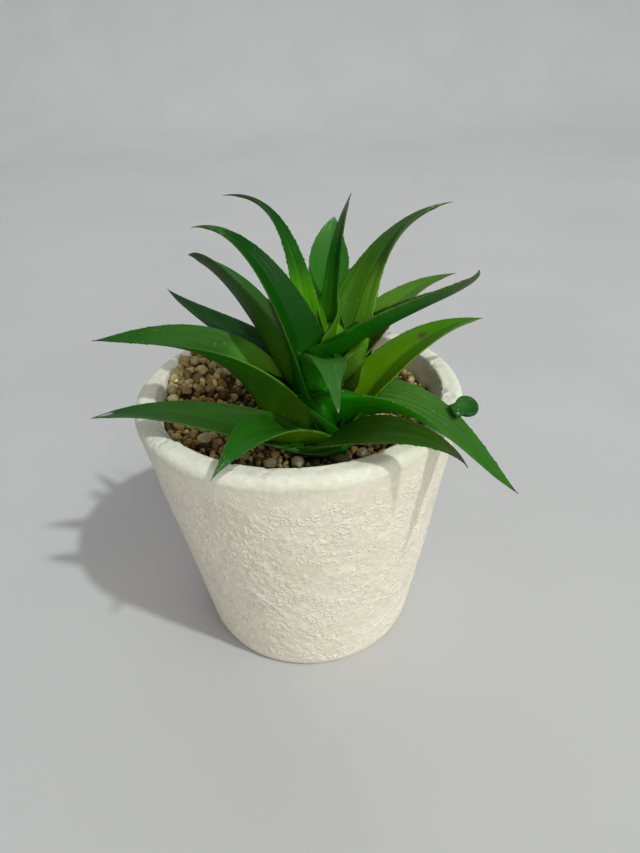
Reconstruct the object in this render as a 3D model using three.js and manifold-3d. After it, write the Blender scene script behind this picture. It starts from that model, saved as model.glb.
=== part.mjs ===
// A small potted succulent: a rosette of long toothed leaves on a short stem,
// set in a gravel-topped cement pot. Millimetres, +Z up. The origin is the centre
// of the pot's underside, and -Y is the front.
import * as THREE from "three";
import { mergeVertices } from "three/addons/utils/BufferGeometryUtils.js";
import Module from "manifold-3d";

const wasm = await Module();
wasm.setup();

// ---- driving dimensions -------------------------------------------------
const POT_HEIGHT = 71;
const RIM_RADIUS = 40; // widest point, just below the top
const BASE_RADIUS = 29.4;
const WALL = 5.2; // wall at the rim
const FLOOR = 8;
const RIM_ROUND = 2.2;
const POT_SEGMENTS = 60;

const PLUG_TOP = 57.6; // block that fills the pot below the gravel
const BED_BOTTOM = 58;
const BED_LEVEL = 64.4;
const MOUND_HEIGHT = 5.3; // the gravel is heaped up at the back left
const MOUND_ANGLE = 147;
const MOUND_WIDTH = 50;
const BED_HOLE = 3.8; // opening round the stem
const DISH_DEPTH = 3.9; // the gravel dips round the foot of the plant
const DISH_FROM = 4;
const DISH_TO = 10;
const GAP = 0.3;

const STEM_X = 5.5;
const STEM_Y = -15;
const STEM_FOOT = 44;
const STEM_TOP = 87;
const STEM_RADIUS = 3;
const STEM_LEAN_FROM = 64; // above this height the stem leans back
const STEM_LEAN_X = 0.02; // mm per mm of height
const STEM_LEAN_Y = 0.22;
const LEAF_SEAT = 3.5; // distance of a leaf's base from the stem's axis
const LEAF_EDGE = 0.5; // thickness at the leaf margin

// Tab left by the mould on the edge of the long right leaf.
const TAB_CENTRE = [34.8, -25.3, 76.6];
const TAB_ROOT = [32, -26, 75.6];
const TAB_RADIUS = 2.5;
const TAB_THICKNESS = 1.1;
const TAB_NECK = 3.2; // width of the neck
const TAB_NORMAL = [0.1, -0.42, 0.9];

// One row per leaf: name, then
// azimuth a0 a1 a2, elevation e0 e1 e2 e3 (degrees, polynomials in s = 0..1 along
// the leaf), length, seat height, half width, width powers p b, roll r0 r1, fold
// angle, keel depth, azimuth a3, width c, seat offset x y, seat turn, roll r2,
// share of the fold that opens by the tip.
const LEAVES = [
  ["leaf_centre_narrow", 33.74, 10.35, -0.37, 83.43, 1.5, -0.3, -30.25, 29.99, 86.79, 2.98, 1.03, 0.62, 2.76, 4.27, 24.08, 0.4, -8.42, -0.09, -0.43, 0.19, 17.24, 4.58, 0.55],
  ["leaf_centre_broad", 102.94, -23.64, -13.4, 54.29, -61.73, 19.86, 24.31, 33.96, 85.93, 6.17, 0.76, 0.84, 12.82, -8.11, 30.81, 0.4, 6.52, 0.15, 1.96, 0.13, -53.17, -9.89, 0.62],
  ["leaf_upper_left_tall", 109.66, -10.16, 23.53, 87.84, -64.2, -23.64, -13.14, 48.71, 82.61, 4.58, 1.17, -0.03, 1.5, 2.66, 37.92, 0.39, 33.41, -0.28, -0.86, 0.17, 20.93, 2.07, 0.44],
  ["leaf_upper_right", 59.59, -6.93, -22.14, 55.6, -31.24, -3.97, -21.19, 50.93, 81.45, 7.66, 1.13, 0.29, -0.74, -9.33, 28.02, 0.4, -18.39, -0.35, 1.28, -0.4, -32.13, -6.67, 0.52],
  ["leaf_left_large", 157.73, -29.04, 1.26, 82.68, -33.99, -15.32, -52.53, 46.94, 78.8, 7.79, 1.17, 0.22, -10.25, -3.43, 32.9, 0.39, 18.77, -0.4, -0.41, -1.39, 43.68, 4.81, 0.58],
  ["leaf_right_upcurved", -0.89, 44.42, 16.58, 37.55, -56.35, -29.55, 44.45, 52.07, 83.72, 5.73, 1.02, 0.67, -22.74, 0.09, 27.23, 0.27, 11.93, -0.03, -1.62, 1.55, -52.33, -16.45, 0.58],
  ["leaf_left_mid", 169.15, -40.06, -7.73, 65.53, -8.74, -30.13, -38.19, 41.53, 76.78, 7.77, 0.97, 1.11, 25.91, -0.81, 21.36, 0.37, 18.98, 0.06, -1.5, 0.99, -17.37, 13.28, 0.53],
  ["leaf_right_back", 41.6, 18.84, -13.37, 30.81, -22.28, -4.6, -6.15, 49.16, 75.72, 7.45, 1.08, 0.64, 2.67, 5.72, 32.17, 0.39, -28.86, -0.16, -0.26, 0.53, 17.58, -6.26, 0.63],
  ["leaf_rear_upper", 62, -2, 0, 52, -30, -6, 0, 41, 76, 8.0, 0.9, 0.7, 0, 0, 28, 0.4, 0, -0.2, 0, 0, 0, 0, 0.55],
  ["leaf_front_centre", -78.04, 0.96, 0.18, 114.5, -134.89, -33.06, -50.77, 30.14, 71.49, 6.56, 0.93, 0.84, -2, -13.39, 35.11, 0.4, -1.77, 0.02, -0.37, 1.08, -19.94, -15.07, 0.5],
  ["leaf_left_long", 167.73, -9, 3.3, 86.1, -148.74, 3.27, 59.34, 52.52, 67.34, 8.41, 1.12, 0.63, 32.69, -64.7, 43.02, 0.51, 26.18, -0.21, -5.77, 1.65, 20.48, -22.09, 0.95],
  ["leaf_left_back", 139.61, -6.78, -1.46, 37.79, -56.66, 8.18, 27.69, 53.88, 70.93, 7.46, 1.07, 0.66, -0.6, 0.99, 32.21, 0.4, 0.28, -0.07, -0.05, 0.11, -2.52, 4.95, 0.55],
  ["leaf_right_broad", 18.99, 28.32, -0.31, 63.82, -84.16, -29.93, 37.53, 48.75, 67.04, 6.86, 1.09, 0.7, 1.95, 10.61, 31.91, 0.37, -13.94, -0.01, 1.44, -1.18, -29.03, -7.74, 0.6],
  ["leaf_right_long", -24.72, -35.49, -12.43, 52.96, -147.35, 8.94, 69.05, 49.44, 67.77, 7.71, 1.05, 0.62, -5.99, -4.03, 35.58, 0.38, 17.07, -0.09, -0.82, 0.83, 38.12, 12.49, 0.49],
  ["leaf_rear_left", 112, 6, 0, 46, -48, -6, 0, 45, 70.5, 7.2, 1, 0.65, 0, 4, 32, 0.4, 0, -0.2, 0, 0, 0, 0, 0.55],
  ["leaf_rear_right", 58, 4, 0, 45, -50, -8, 0, 46, 69.5, 7.2, 1, 0.65, 0, 3, 32, 0.4, 0, -0.2, 0, 0, 0, 0, 0.55],
  ["leaf_rear_middle", 86, -5, 0, 44, -52, -4, 0, 43, 68.5, 7.4, 1, 0.65, 0, -4, 32, 0.4, 0, -0.2, 0, 0, 0, 0, 0.55],
  ["leaf_left_low", 187.54, -33.15, 5.44, 27.38, -14.04, -33.67, 1.55, 49.48, 66.3, 6.14, 0.99, 0.84, -7.21, -5.55, 18.63, 0.3, 11.83, 0.14, -2.04, -3.4, 37.61, 18.77, 0.61],
  ["leaf_front_left", 189.67, 111.47, 8.13, 37.67, -0.97, -37.64, -29.61, 40.35, 64.03, 6.86, 1.28, 1.25, 21.54, -34.91, 19.01, 0.39, -79.08, 0.04, 1.88, 0.54, 43.81, -52.16, 0.37],
  ["leaf_right_low", -45.26, 2.01, 15.83, 38.45, -0.1, -42.63, -53.97, 41.04, 66.64, 5.38, 1.14, 0.98, -7.38, 39.1, 8.7, 0.3, 12.21, -0.2, -2.66, -4.32, -59.03, 49.85, 0.57],
];

// ---- helpers ------------------------------------------------------------
const rad = (d) => (d * Math.PI) / 180;
const V = (x, y, z) => new THREE.Vector3(x, y, z);

// Repeatable value between 0 and 1.
function hash(a, b = 0) {
  const t = Math.sin(a * 127.1 + b * 311.7 + 17.3) * 43758.5453;
  return t - Math.floor(t);
}

function geometryOf(positions, index) {
  const g = new THREE.BufferGeometry();
  g.setAttribute("position", new THREE.Float32BufferAttribute(positions, 3));
  g.setIndex(index);
  return g;
}

function solid(geometry) {
  const g = geometry.clone();
  g.deleteAttribute("normal");
  g.deleteAttribute("uv");
  const m = mergeVertices(g, 1e-4);
  return new wasm.Manifold(
    new wasm.Mesh({
      numProp: 3,
      vertProperties: new Float32Array(m.attributes.position.array),
      triVerts: new Uint32Array(m.index.array),
    }),
  );
}

function geometryFrom(manifold) {
  const m = manifold.getMesh();
  const positions = [];
  for (let i = 0; i < m.numVert; i++)
    for (let k = 0; k < 3; k++)
      positions.push(m.vertProperties[i * m.numProp + k]);
  const g = geometryOf(positions, Array.from(m.triVerts));
  g.computeVertexNormals();
  return g;
}

// The largest separate body of a cut solid.
function mainBody(manifold) {
  return manifold
    .decompose()
    .reduce((a, b) => (b.volume() > a.volume() ? b : a));
}

function lathe(profile, segments) {
  return new THREE.LatheGeometry(
    profile.map(([r, z]) => new THREE.Vector2(r, z)),
    segments,
  ).rotateX(Math.PI / 2);
}

// ---- pot ----------------------------------------------------------------
const SLOPE = (RIM_RADIUS - BASE_RADIUS) / (POT_HEIGHT - RIM_ROUND);
const innerRadius = (z) => RIM_RADIUS - WALL - SLOPE * (POT_HEIGHT - z);

function potGeometry() {
  const p = [[0, 0]];
  const foot = 1.2;
  p.push([BASE_RADIUS - foot, 0]);
  for (let i = 1; i <= 3; i++) {
    const a = rad(i * 30);
    p.push([
      BASE_RADIUS - foot + foot * Math.sin(a),
      foot - foot * Math.cos(a),
    ]);
  }
  for (let i = 1; i <= 3; i++) {
    const z = foot + ((POT_HEIGHT - RIM_ROUND - foot) * i) / 3;
    p.push([BASE_RADIUS + SLOPE * z, z]);
  }
  for (let i = 1; i <= 4; i++) {
    const a = rad(i * 22.5);
    p.push([
      RIM_RADIUS - RIM_ROUND + RIM_ROUND * Math.cos(a),
      POT_HEIGHT - RIM_ROUND + RIM_ROUND * Math.sin(a),
    ]);
  }
  const lip = 0.8;
  p.push([RIM_RADIUS - WALL + lip, POT_HEIGHT]);
  p.push([RIM_RADIUS - WALL + lip * 0.25, POT_HEIGHT - lip * 0.25]);
  p.push([RIM_RADIUS - WALL, POT_HEIGHT - lip]);
  p.push([innerRadius(40), 40]);
  p.push([innerRadius(FLOOR + 3), FLOOR + 3]);
  p.push([innerRadius(FLOOR) - 2, FLOOR]);
  p.push([0, FLOOR]);
  return lathe(p, POT_SEGMENTS);
}

// ---- block under the gravel, with a bore for the stem --------------------
function plugGeometry() {
  const block = lathe(
    [
      [0, FLOOR + GAP],
      [innerRadius(FLOOR) - 2.6, FLOOR + GAP],
      [innerRadius(FLOOR + 3) - 0.5, FLOOR + 3.3],
      [innerRadius(PLUG_TOP) - 0.5, PLUG_TOP],
      [0, PLUG_TOP],
    ],
    48,
  );
  const bore = new THREE.CylinderGeometry(
    STEM_RADIUS + GAP,
    STEM_RADIUS + GAP,
    20,
    24,
  )
    .rotateX(Math.PI / 2)
    .translate(STEM_X, STEM_Y, STEM_FOOT - GAP + 10);
  return geometryFrom(solid(block).subtract(solid(bore)));
}

// ---- gravel bed: one closed bumpy ring between the pot and the plant -----
function bedHeight(x, y) {
  const r = Math.hypot(x, y);
  let a = (Math.atan2(y, x) * 180) / Math.PI - MOUND_ANGLE;
  a = a < -180 ? a + 360 : a;
  const rise = Math.min(1, Math.max(0, (r - 10) / 22));
  const d = Math.hypot(x - STEM_X, y - STEM_Y);
  const t = Math.min(1, Math.max(0, (d - DISH_FROM) / (DISH_TO - DISH_FROM)));
  return (
    BED_LEVEL -
    DISH_DEPTH * (1 - t * t * (3 - 2 * t)) +
    MOUND_HEIGHT * Math.exp(-((a / MOUND_WIDTH) ** 2)) * rise * rise * (3 - 2 * rise)
  );
}

function bedGeometry(grow) {
  const RAYS = 48,
    RINGS = 9;
  const positions = [],
    index = [];
  for (let i = 0; i < RAYS; i++) {
    const a = (2 * Math.PI * i) / RAYS;
    const dx = Math.cos(a),
      dy = Math.sin(a);
    // distance from the stem's foot to a circle of radius R about the pot's axis
    const reach = (R) => {
      const b = STEM_X * dx + STEM_Y * dy;
      return -b + Math.sqrt(b * b - (STEM_X ** 2 + STEM_Y ** 2) + R * R);
    };
    for (let j = 0; j <= RINGS; j++) {
      let z = BED_LEVEL;
      let x, y;
      for (let k = 0; k < 3; k++) {
        const R = innerRadius(z) - 0.45;
        const hole = BED_HOLE - grow;
        const d = hole + (reach(R) - hole) * (j / RINGS) ** 1.05;
        x = STEM_X + dx * d;
        y = STEM_Y + dy * d;
        z = bedHeight(x, y) - 0.3 + 0.75 * hash(i, j);
      }
      positions.push(x, y, z + grow);
    }
    const low = reach(innerRadius(BED_BOTTOM) - 0.45);
    positions.push(STEM_X + dx * low, STEM_Y + dy * low, BED_BOTTOM);
    positions.push(
      STEM_X + dx * (BED_HOLE - grow),
      STEM_Y + dy * (BED_HOLE - grow),
      BED_BOTTOM,
    );
  }
  const N = RINGS + 3;
  for (let i = 0; i < RAYS; i++) {
    const n = (i + 1) % RAYS;
    for (let j = 0; j < N; j++) {
      const k = (j + 1) % N;
      const a = i * N + j,
        b = n * N + j,
        c = n * N + k,
        d = i * N + k;
      index.push(a, d, c, a, c, b);
    }
  }
  return geometryOf(positions, index);
}

// Larger stones lying on the bed: x, y, half length, half height, turn.
const PEBBLES = [
  [-18.5, 12.4, 1.6, 1.2, 20],
  [-27.2, 15.4, 1.6, 1.1, 70],
  [-28.2, 2.2, 1.7, 1.2, 130],
  [-22.2, -16.2, 1.8, 1.3, 40],
  [-7.2, -26.6, 1.6, 1.2, 15],
  [-1.2, -27.2, 1.9, 1.4, 95],
  [8.2, -26.8, 1.8, 1.3, 160],
  [12.9, -24.8, 1.5, 1.1, 60],
];

function pebbleGeometry(n, grow = 0) {
  const [, , length, height, turn] = PEBBLES[n];
  const a = length + grow,
    h = height + grow;
  const g = new THREE.IcosahedronGeometry(1, 1);
  const p = g.attributes.position;
  for (let i = 0; i < p.count; i++) {
    const v = V(p.getX(i), p.getY(i), p.getZ(i)).normalize();
    const w =
      1 +
      0.09 * Math.sin(3.1 * v.x + n) +
      0.08 * Math.sin(4.3 * v.y + 2.1 * n) -
      0.06 * Math.cos(3.7 * v.z + 1.3 * n);
    p.setXYZ(i, v.x * a * w, v.y * a * 0.8 * w, v.z * h * w);
  }
  return g.rotateZ(rad(turn));
}

// ---- stem ---------------------------------------------------------------
function stemAxis(z) {
  const up = Math.max(0, z - STEM_LEAN_FROM);
  return V(STEM_X + STEM_LEAN_X * up, STEM_Y + STEM_LEAN_Y * up, z);
}

function stemGeometry(grow) {
  const SIDES = 20;
  const rings = [
    [STEM_FOOT, 2.4],
    [STEM_FOOT + 1, STEM_RADIUS],
    [56, STEM_RADIUS],
    [STEM_LEAN_FROM, STEM_RADIUS],
    [72, STEM_RADIUS - 0.2],
    [82, STEM_RADIUS - 0.6],
    [STEM_TOP - 1, STEM_RADIUS - 1.1],
    [STEM_TOP, STEM_RADIUS - 1.8],
  ];
  const positions = [],
    index = [];
  rings.forEach(([z, r]) => {
    const c = stemAxis(z);
    for (let j = 0; j < SIDES; j++) {
      const a = (2 * Math.PI * j) / SIDES;
      positions.push(
        c.x + (r + grow) * Math.cos(a),
        c.y + (r + grow) * Math.sin(a),
        z,
      );
    }
  });
  const n = rings.length;
  for (let i = 0; i + 1 < n; i++)
    for (let j = 0; j < SIDES; j++) {
      const k = (j + 1) % SIDES;
      const a = i * SIDES + j,
        b = i * SIDES + k,
        c = (i + 1) * SIDES + k,
        d = (i + 1) * SIDES + j;
      index.push(a, b, c, a, c, d);
    }
  const foot = positions.length / 3;
  const c0 = stemAxis(STEM_FOOT - grow),
    c1 = stemAxis(STEM_TOP + grow);
  positions.push(c0.x, c0.y, c0.z, c1.x, c1.y, c1.z);
  for (let j = 0; j < SIDES; j++) {
    const k = (j + 1) % SIDES;
    index.push(foot, k, j);
    index.push(foot + 1, (n - 1) * SIDES + j, (n - 1) * SIDES + k);
  }
  return geometryOf(positions, index);
}

// ---- leaves -------------------------------------------------------------
// The centre line turns by the azimuth and elevation polynomials; the blade is
// a fold of two halves that rise to the margins, with a keel underneath.
function leafLine(row) {
  const [, a0, a1, a2, e0, e1, e2, e3, length, seat] = row;
  const a3 = row[17];
  const azimuth = (s) => rad(a0 + a1 * s + a2 * s * s + a3 * s ** 3);
  const elevation = (s) => rad(e0 + e1 * s + e2 * s * s + e3 * s ** 3);
  const lean = seat - STEM_LEAN_FROM;
  const turn = rad(a0 + row[21]);
  const STEPS = 96;
  const line = [
    V(
      row[19] + STEM_X + STEM_LEAN_X * lean + LEAF_SEAT * Math.cos(turn),
      row[20] + STEM_Y + STEM_LEAN_Y * lean + LEAF_SEAT * Math.sin(turn),
      seat,
    ),
  ];
  for (let i = 0; i < STEPS; i++) {
    const s = (i + 0.5) / STEPS,
      a = azimuth(s),
      e = elevation(s);
    line.push(
      line[i]
        .clone()
        .add(
          V(
            Math.cos(e) * Math.cos(a),
            Math.cos(e) * Math.sin(a),
            Math.sin(e),
          ).multiplyScalar(length / STEPS),
        ),
    );
  }
  return { line, azimuth, elevation, STEPS };
}

function leafStation(row, path, s) {
  const [p, b, r0, r1, fold, keel] = row.slice(11, 17);
  const c = row[18];
  const a = path.azimuth(s),
    e = path.elevation(s);
  const T = V(
    Math.cos(e) * Math.cos(a),
    Math.cos(e) * Math.sin(a),
    Math.sin(e),
  );
  const side = V(-Math.sin(a), Math.cos(a), 0);
  const up = T.clone().cross(side);
  const roll = rad(r0 + r1 * s + row[22] * s * s);
  const B = side
    .clone()
    .multiplyScalar(Math.cos(roll))
    .addScaledVector(up, Math.sin(roll));
  const N = up
    .clone()
    .multiplyScalar(Math.cos(roll))
    .addScaledVector(side, -Math.sin(roll));
  return {
    M: path.line[Math.round(s * path.STEPS)].clone(),
    T,
    B,
    N,
    W: Math.max(0.25, row[10] * (1 - s) ** p * (1 + b * s + c * s * s)),
    fold: rad(fold * (1 - row[23] * s)),
    keel,
    edge: LEAF_EDGE * Math.min(1, (1 - s) / 0.1),
  };
}

const STATIONS = [0, 8, 17, 28, 40, 52, 64, 74, 83, 90].map((i) => i / 96);
const ACROSS = [1, 0.5, 0, -0.5, -1];

function leafGeometry(row, grow) {
  const path = leafLine(row);
  const stations = STATIONS.map((s) => leafStation(row, path, s));
  const positions = [],
    index = [];
  stations.forEach((q, i) => {
    const inner = (u) => q.W * Math.sin(q.fold) * Math.abs(u) ** 1.25;
    const put = (u, n) => {
      const v = q.M.clone()
        .addScaledVector(q.B, q.W * Math.cos(q.fold) * u + grow * Math.sign(u))
        .addScaledVector(q.N, n);
      if (i === 0) v.addScaledVector(q.T, -grow);
      positions.push(v.x, v.y, v.z);
    };
    ACROSS.forEach((u) => put(u, inner(u) + grow));
    [...ACROSS]
      .reverse()
      .forEach((u) =>
        put(
          u,
          inner(u) -
            q.edge -
            q.keel * q.W * (1 - Math.abs(u) ** 1.8) -
            grow,
        ),
      );
  });
  const R = 10,
    n = stations.length;
  for (let i = 0; i + 1 < n; i++)
    for (let j = 0; j < R; j++) {
      const k = (j + 1) % R;
      const a = i * R + j,
        b = i * R + k,
        c = (i + 1) * R + k,
        d = (i + 1) * R + j;
      index.push(a, b, c, a, c, d);
    }
  for (let i = 0; i < 4; i++)
    index.push(i + 1, i, 9 - i, i + 1, 9 - i, 8 - i);
  const tip = path.line[path.STEPS]
    .clone()
    .addScaledVector(stations[n - 1].T, grow);
  positions.push(tip.x, tip.y, tip.z);
  for (let j = 0; j < R; j++)
    index.push((n - 1) * R + j, (n - 1) * R + ((j + 1) % R), n * R);
  return geometryOf(positions, index);
}

// A leaf that starts away from the stem has a short foot that reaches it.
function leafSolid(row, grow) {
  const blade = solid(leafGeometry(row, grow));
  const seat = leafLine(row).line[0];
  const axis = stemAxis(seat.z - 0.5);
  const out = seat.clone().sub(axis);
  if (Math.hypot(out.x, out.y) < LEAF_SEAT + 1) return blade;
  out.normalize();
  const half = row[10] * 0.42 + grow,
    thick = 1.3 + grow;
  const shape = new THREE.Shape();
  shape.absellipse(0, 0, thick, half, 0, 2 * Math.PI);
  const foot = new THREE.ExtrudeGeometry(shape, {
    steps: 1,
    bevelEnabled: false,
    curveSegments: 8,
    extrudePath: new THREE.LineCurve3(
      axis.clone().addScaledVector(out, 1),
      seat.clone().addScaledVector(out, 0.8),
    ),
  });
  return blade.add(solid(foot));
}

// The round tab and its neck, as one flat disc joined by a short flat bar.
function tabSolid() {
  const normal = V(...TAB_NORMAL).normalize();
  const turn = new THREE.Quaternion().setFromUnitVectors(V(0, 0, 1), normal);
  const disc = new THREE.CylinderGeometry(
    TAB_RADIUS,
    TAB_RADIUS,
    TAB_THICKNESS,
    28,
  )
    .rotateX(Math.PI / 2)
    .applyQuaternion(turn)
    .translate(...TAB_CENTRE);
  const from = V(...TAB_ROOT),
    to = V(...TAB_CENTRE);
  const along = to.clone().sub(from);
  const x = along.clone().normalize();
  const z = normal.clone().addScaledVector(x, -normal.dot(x)).normalize();
  const y = z.clone().cross(x);
  const neck = new THREE.BoxGeometry(
    along.length(),
    TAB_NECK,
    TAB_THICKNESS * 0.92,
  ).applyMatrix4(
    new THREE.Matrix4()
      .makeBasis(x, y, z)
      .setPosition(from.clone().addScaledVector(along, 0.5)),
  );
  return solid(disc).add(solid(neck));
}

// ---- assembly -----------------------------------------------------------
const material = (color, roughness) =>
  new THREE.MeshStandardMaterial({ color, roughness, metalness: 0 });
const cement = material(0xd9d4c6, 0.85);
const block = material(0x6d6558, 0.95);
const gravel = material(0xa88d68, 0.6);
const stone = material(0xc9b795, 0.5);
const stalk = material(0x2c5a18, 0.55);

function mesh(name, geometry, mat) {
  const m = new THREE.Mesh(geometry, mat);
  m.name = name;
  return m;
}

const root = new THREE.Group();
const vessel = new THREE.Group();
const plant = new THREE.Group();
root.add(vessel, plant);

vessel.add(mesh("pot", potGeometry(), cement));
vessel.add(mesh("potting_plug", plugGeometry(), block));
vessel.add(mesh("gravel_bed", bedGeometry(0), gravel));
PEBBLES.forEach(([x, y, , h], i) => {
  const m = mesh("pebble_" + (i + 1), pebbleGeometry(i), stone);
  m.position.set(x, y, bedHeight(x, y) + 0.8 + h * 1.12);
  vessel.add(m);
});

plant.add(mesh("stem", stemGeometry(0), stalk));

// Where leaves crowd round the stem, the later one in the list is cut back to
// leave a gap to its neighbours, to the stem, to the gravel and to its stones.
let taken = solid(stemGeometry(GAP)).add(solid(bedGeometry(GAP)));
PEBBLES.forEach(([x, y, , h], i) => {
  const at = [x, y, bedHeight(x, y) + 0.8 + h * 1.12];
  taken = taken.add(solid(pebbleGeometry(i, GAP + 0.1).translate(...at)));
});
LEAVES.forEach((row, i) => {
  let body = leafSolid(row, 0);
  if (row[0] === "leaf_right_long") body = body.add(tabSolid());
  body = mainBody(body.subtract(taken));
  taken = taken.add(leafSolid(row, GAP + 0.05));
  plant.add(
    mesh(
      row[0],
      geometryFrom(body),
      material(
        new THREE.Color().setHSL(0.3 + 0.03 * hash(i), 0.62, 0.2 + 0.07 * hash(i, 3)),
        0.42,
      ),
    ),
  );
});

export default root;
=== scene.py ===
import bpy
import math
import numpy as np
from mathutils import Matrix, Vector
from mathutils.kdtree import KDTree


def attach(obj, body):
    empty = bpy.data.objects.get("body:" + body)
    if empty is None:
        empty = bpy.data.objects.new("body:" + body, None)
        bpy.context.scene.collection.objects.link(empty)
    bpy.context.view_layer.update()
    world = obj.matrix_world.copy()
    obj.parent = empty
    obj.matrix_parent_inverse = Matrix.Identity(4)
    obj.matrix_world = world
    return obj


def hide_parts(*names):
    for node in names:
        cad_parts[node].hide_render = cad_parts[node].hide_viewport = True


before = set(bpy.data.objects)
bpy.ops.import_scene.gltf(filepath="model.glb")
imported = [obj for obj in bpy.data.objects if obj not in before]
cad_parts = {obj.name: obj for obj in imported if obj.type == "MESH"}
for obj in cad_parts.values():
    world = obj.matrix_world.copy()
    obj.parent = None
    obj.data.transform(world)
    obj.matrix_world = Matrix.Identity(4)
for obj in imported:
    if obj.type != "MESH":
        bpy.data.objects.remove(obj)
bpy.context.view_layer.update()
MM = 0.001
TAU = 2 * math.pi

# ------------------------------------------------------------------ sizes
POT_HEIGHT = 71.0
RIM_RADIUS = 40.0
BASE_RADIUS = 29.4
WALL = 5.2
RIM_ROUND = 2.2
FLOOR = 8.0
SLOPE = (RIM_RADIUS - BASE_RADIUS) / (POT_HEIGHT - RIM_ROUND)
BED_BOTTOM = 58.0
BED_LEVEL = 64.4
MOUND_HEIGHT = 5.3
MOUND_ANGLE = 147.0
MOUND_WIDTH = 50.0
BED_HOLE = 3.8
DISH_DEPTH, DISH_FROM, DISH_TO = 3.9, 4.0, 10.0
STEM_X, STEM_Y = 5.5, -15.0
STEM_FOOT, STEM_TOP, STEM_RADIUS = 44.0, 87.0, 3.0
LEAN_FROM, LEAN_X, LEAN_Y = 64.0, 0.02, 0.22
LEAF_SEAT = 3.5
TAB_CENTRE = (34.8, -25.3, 76.6)
TAB_ROOT = (32.0, -26.0, 75.6)
TAB_RADIUS, TAB_THICKNESS, TAB_NECK = 2.5, 1.1, 3.2
TAB_NORMAL = (0.1, -0.42, 0.9)

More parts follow.
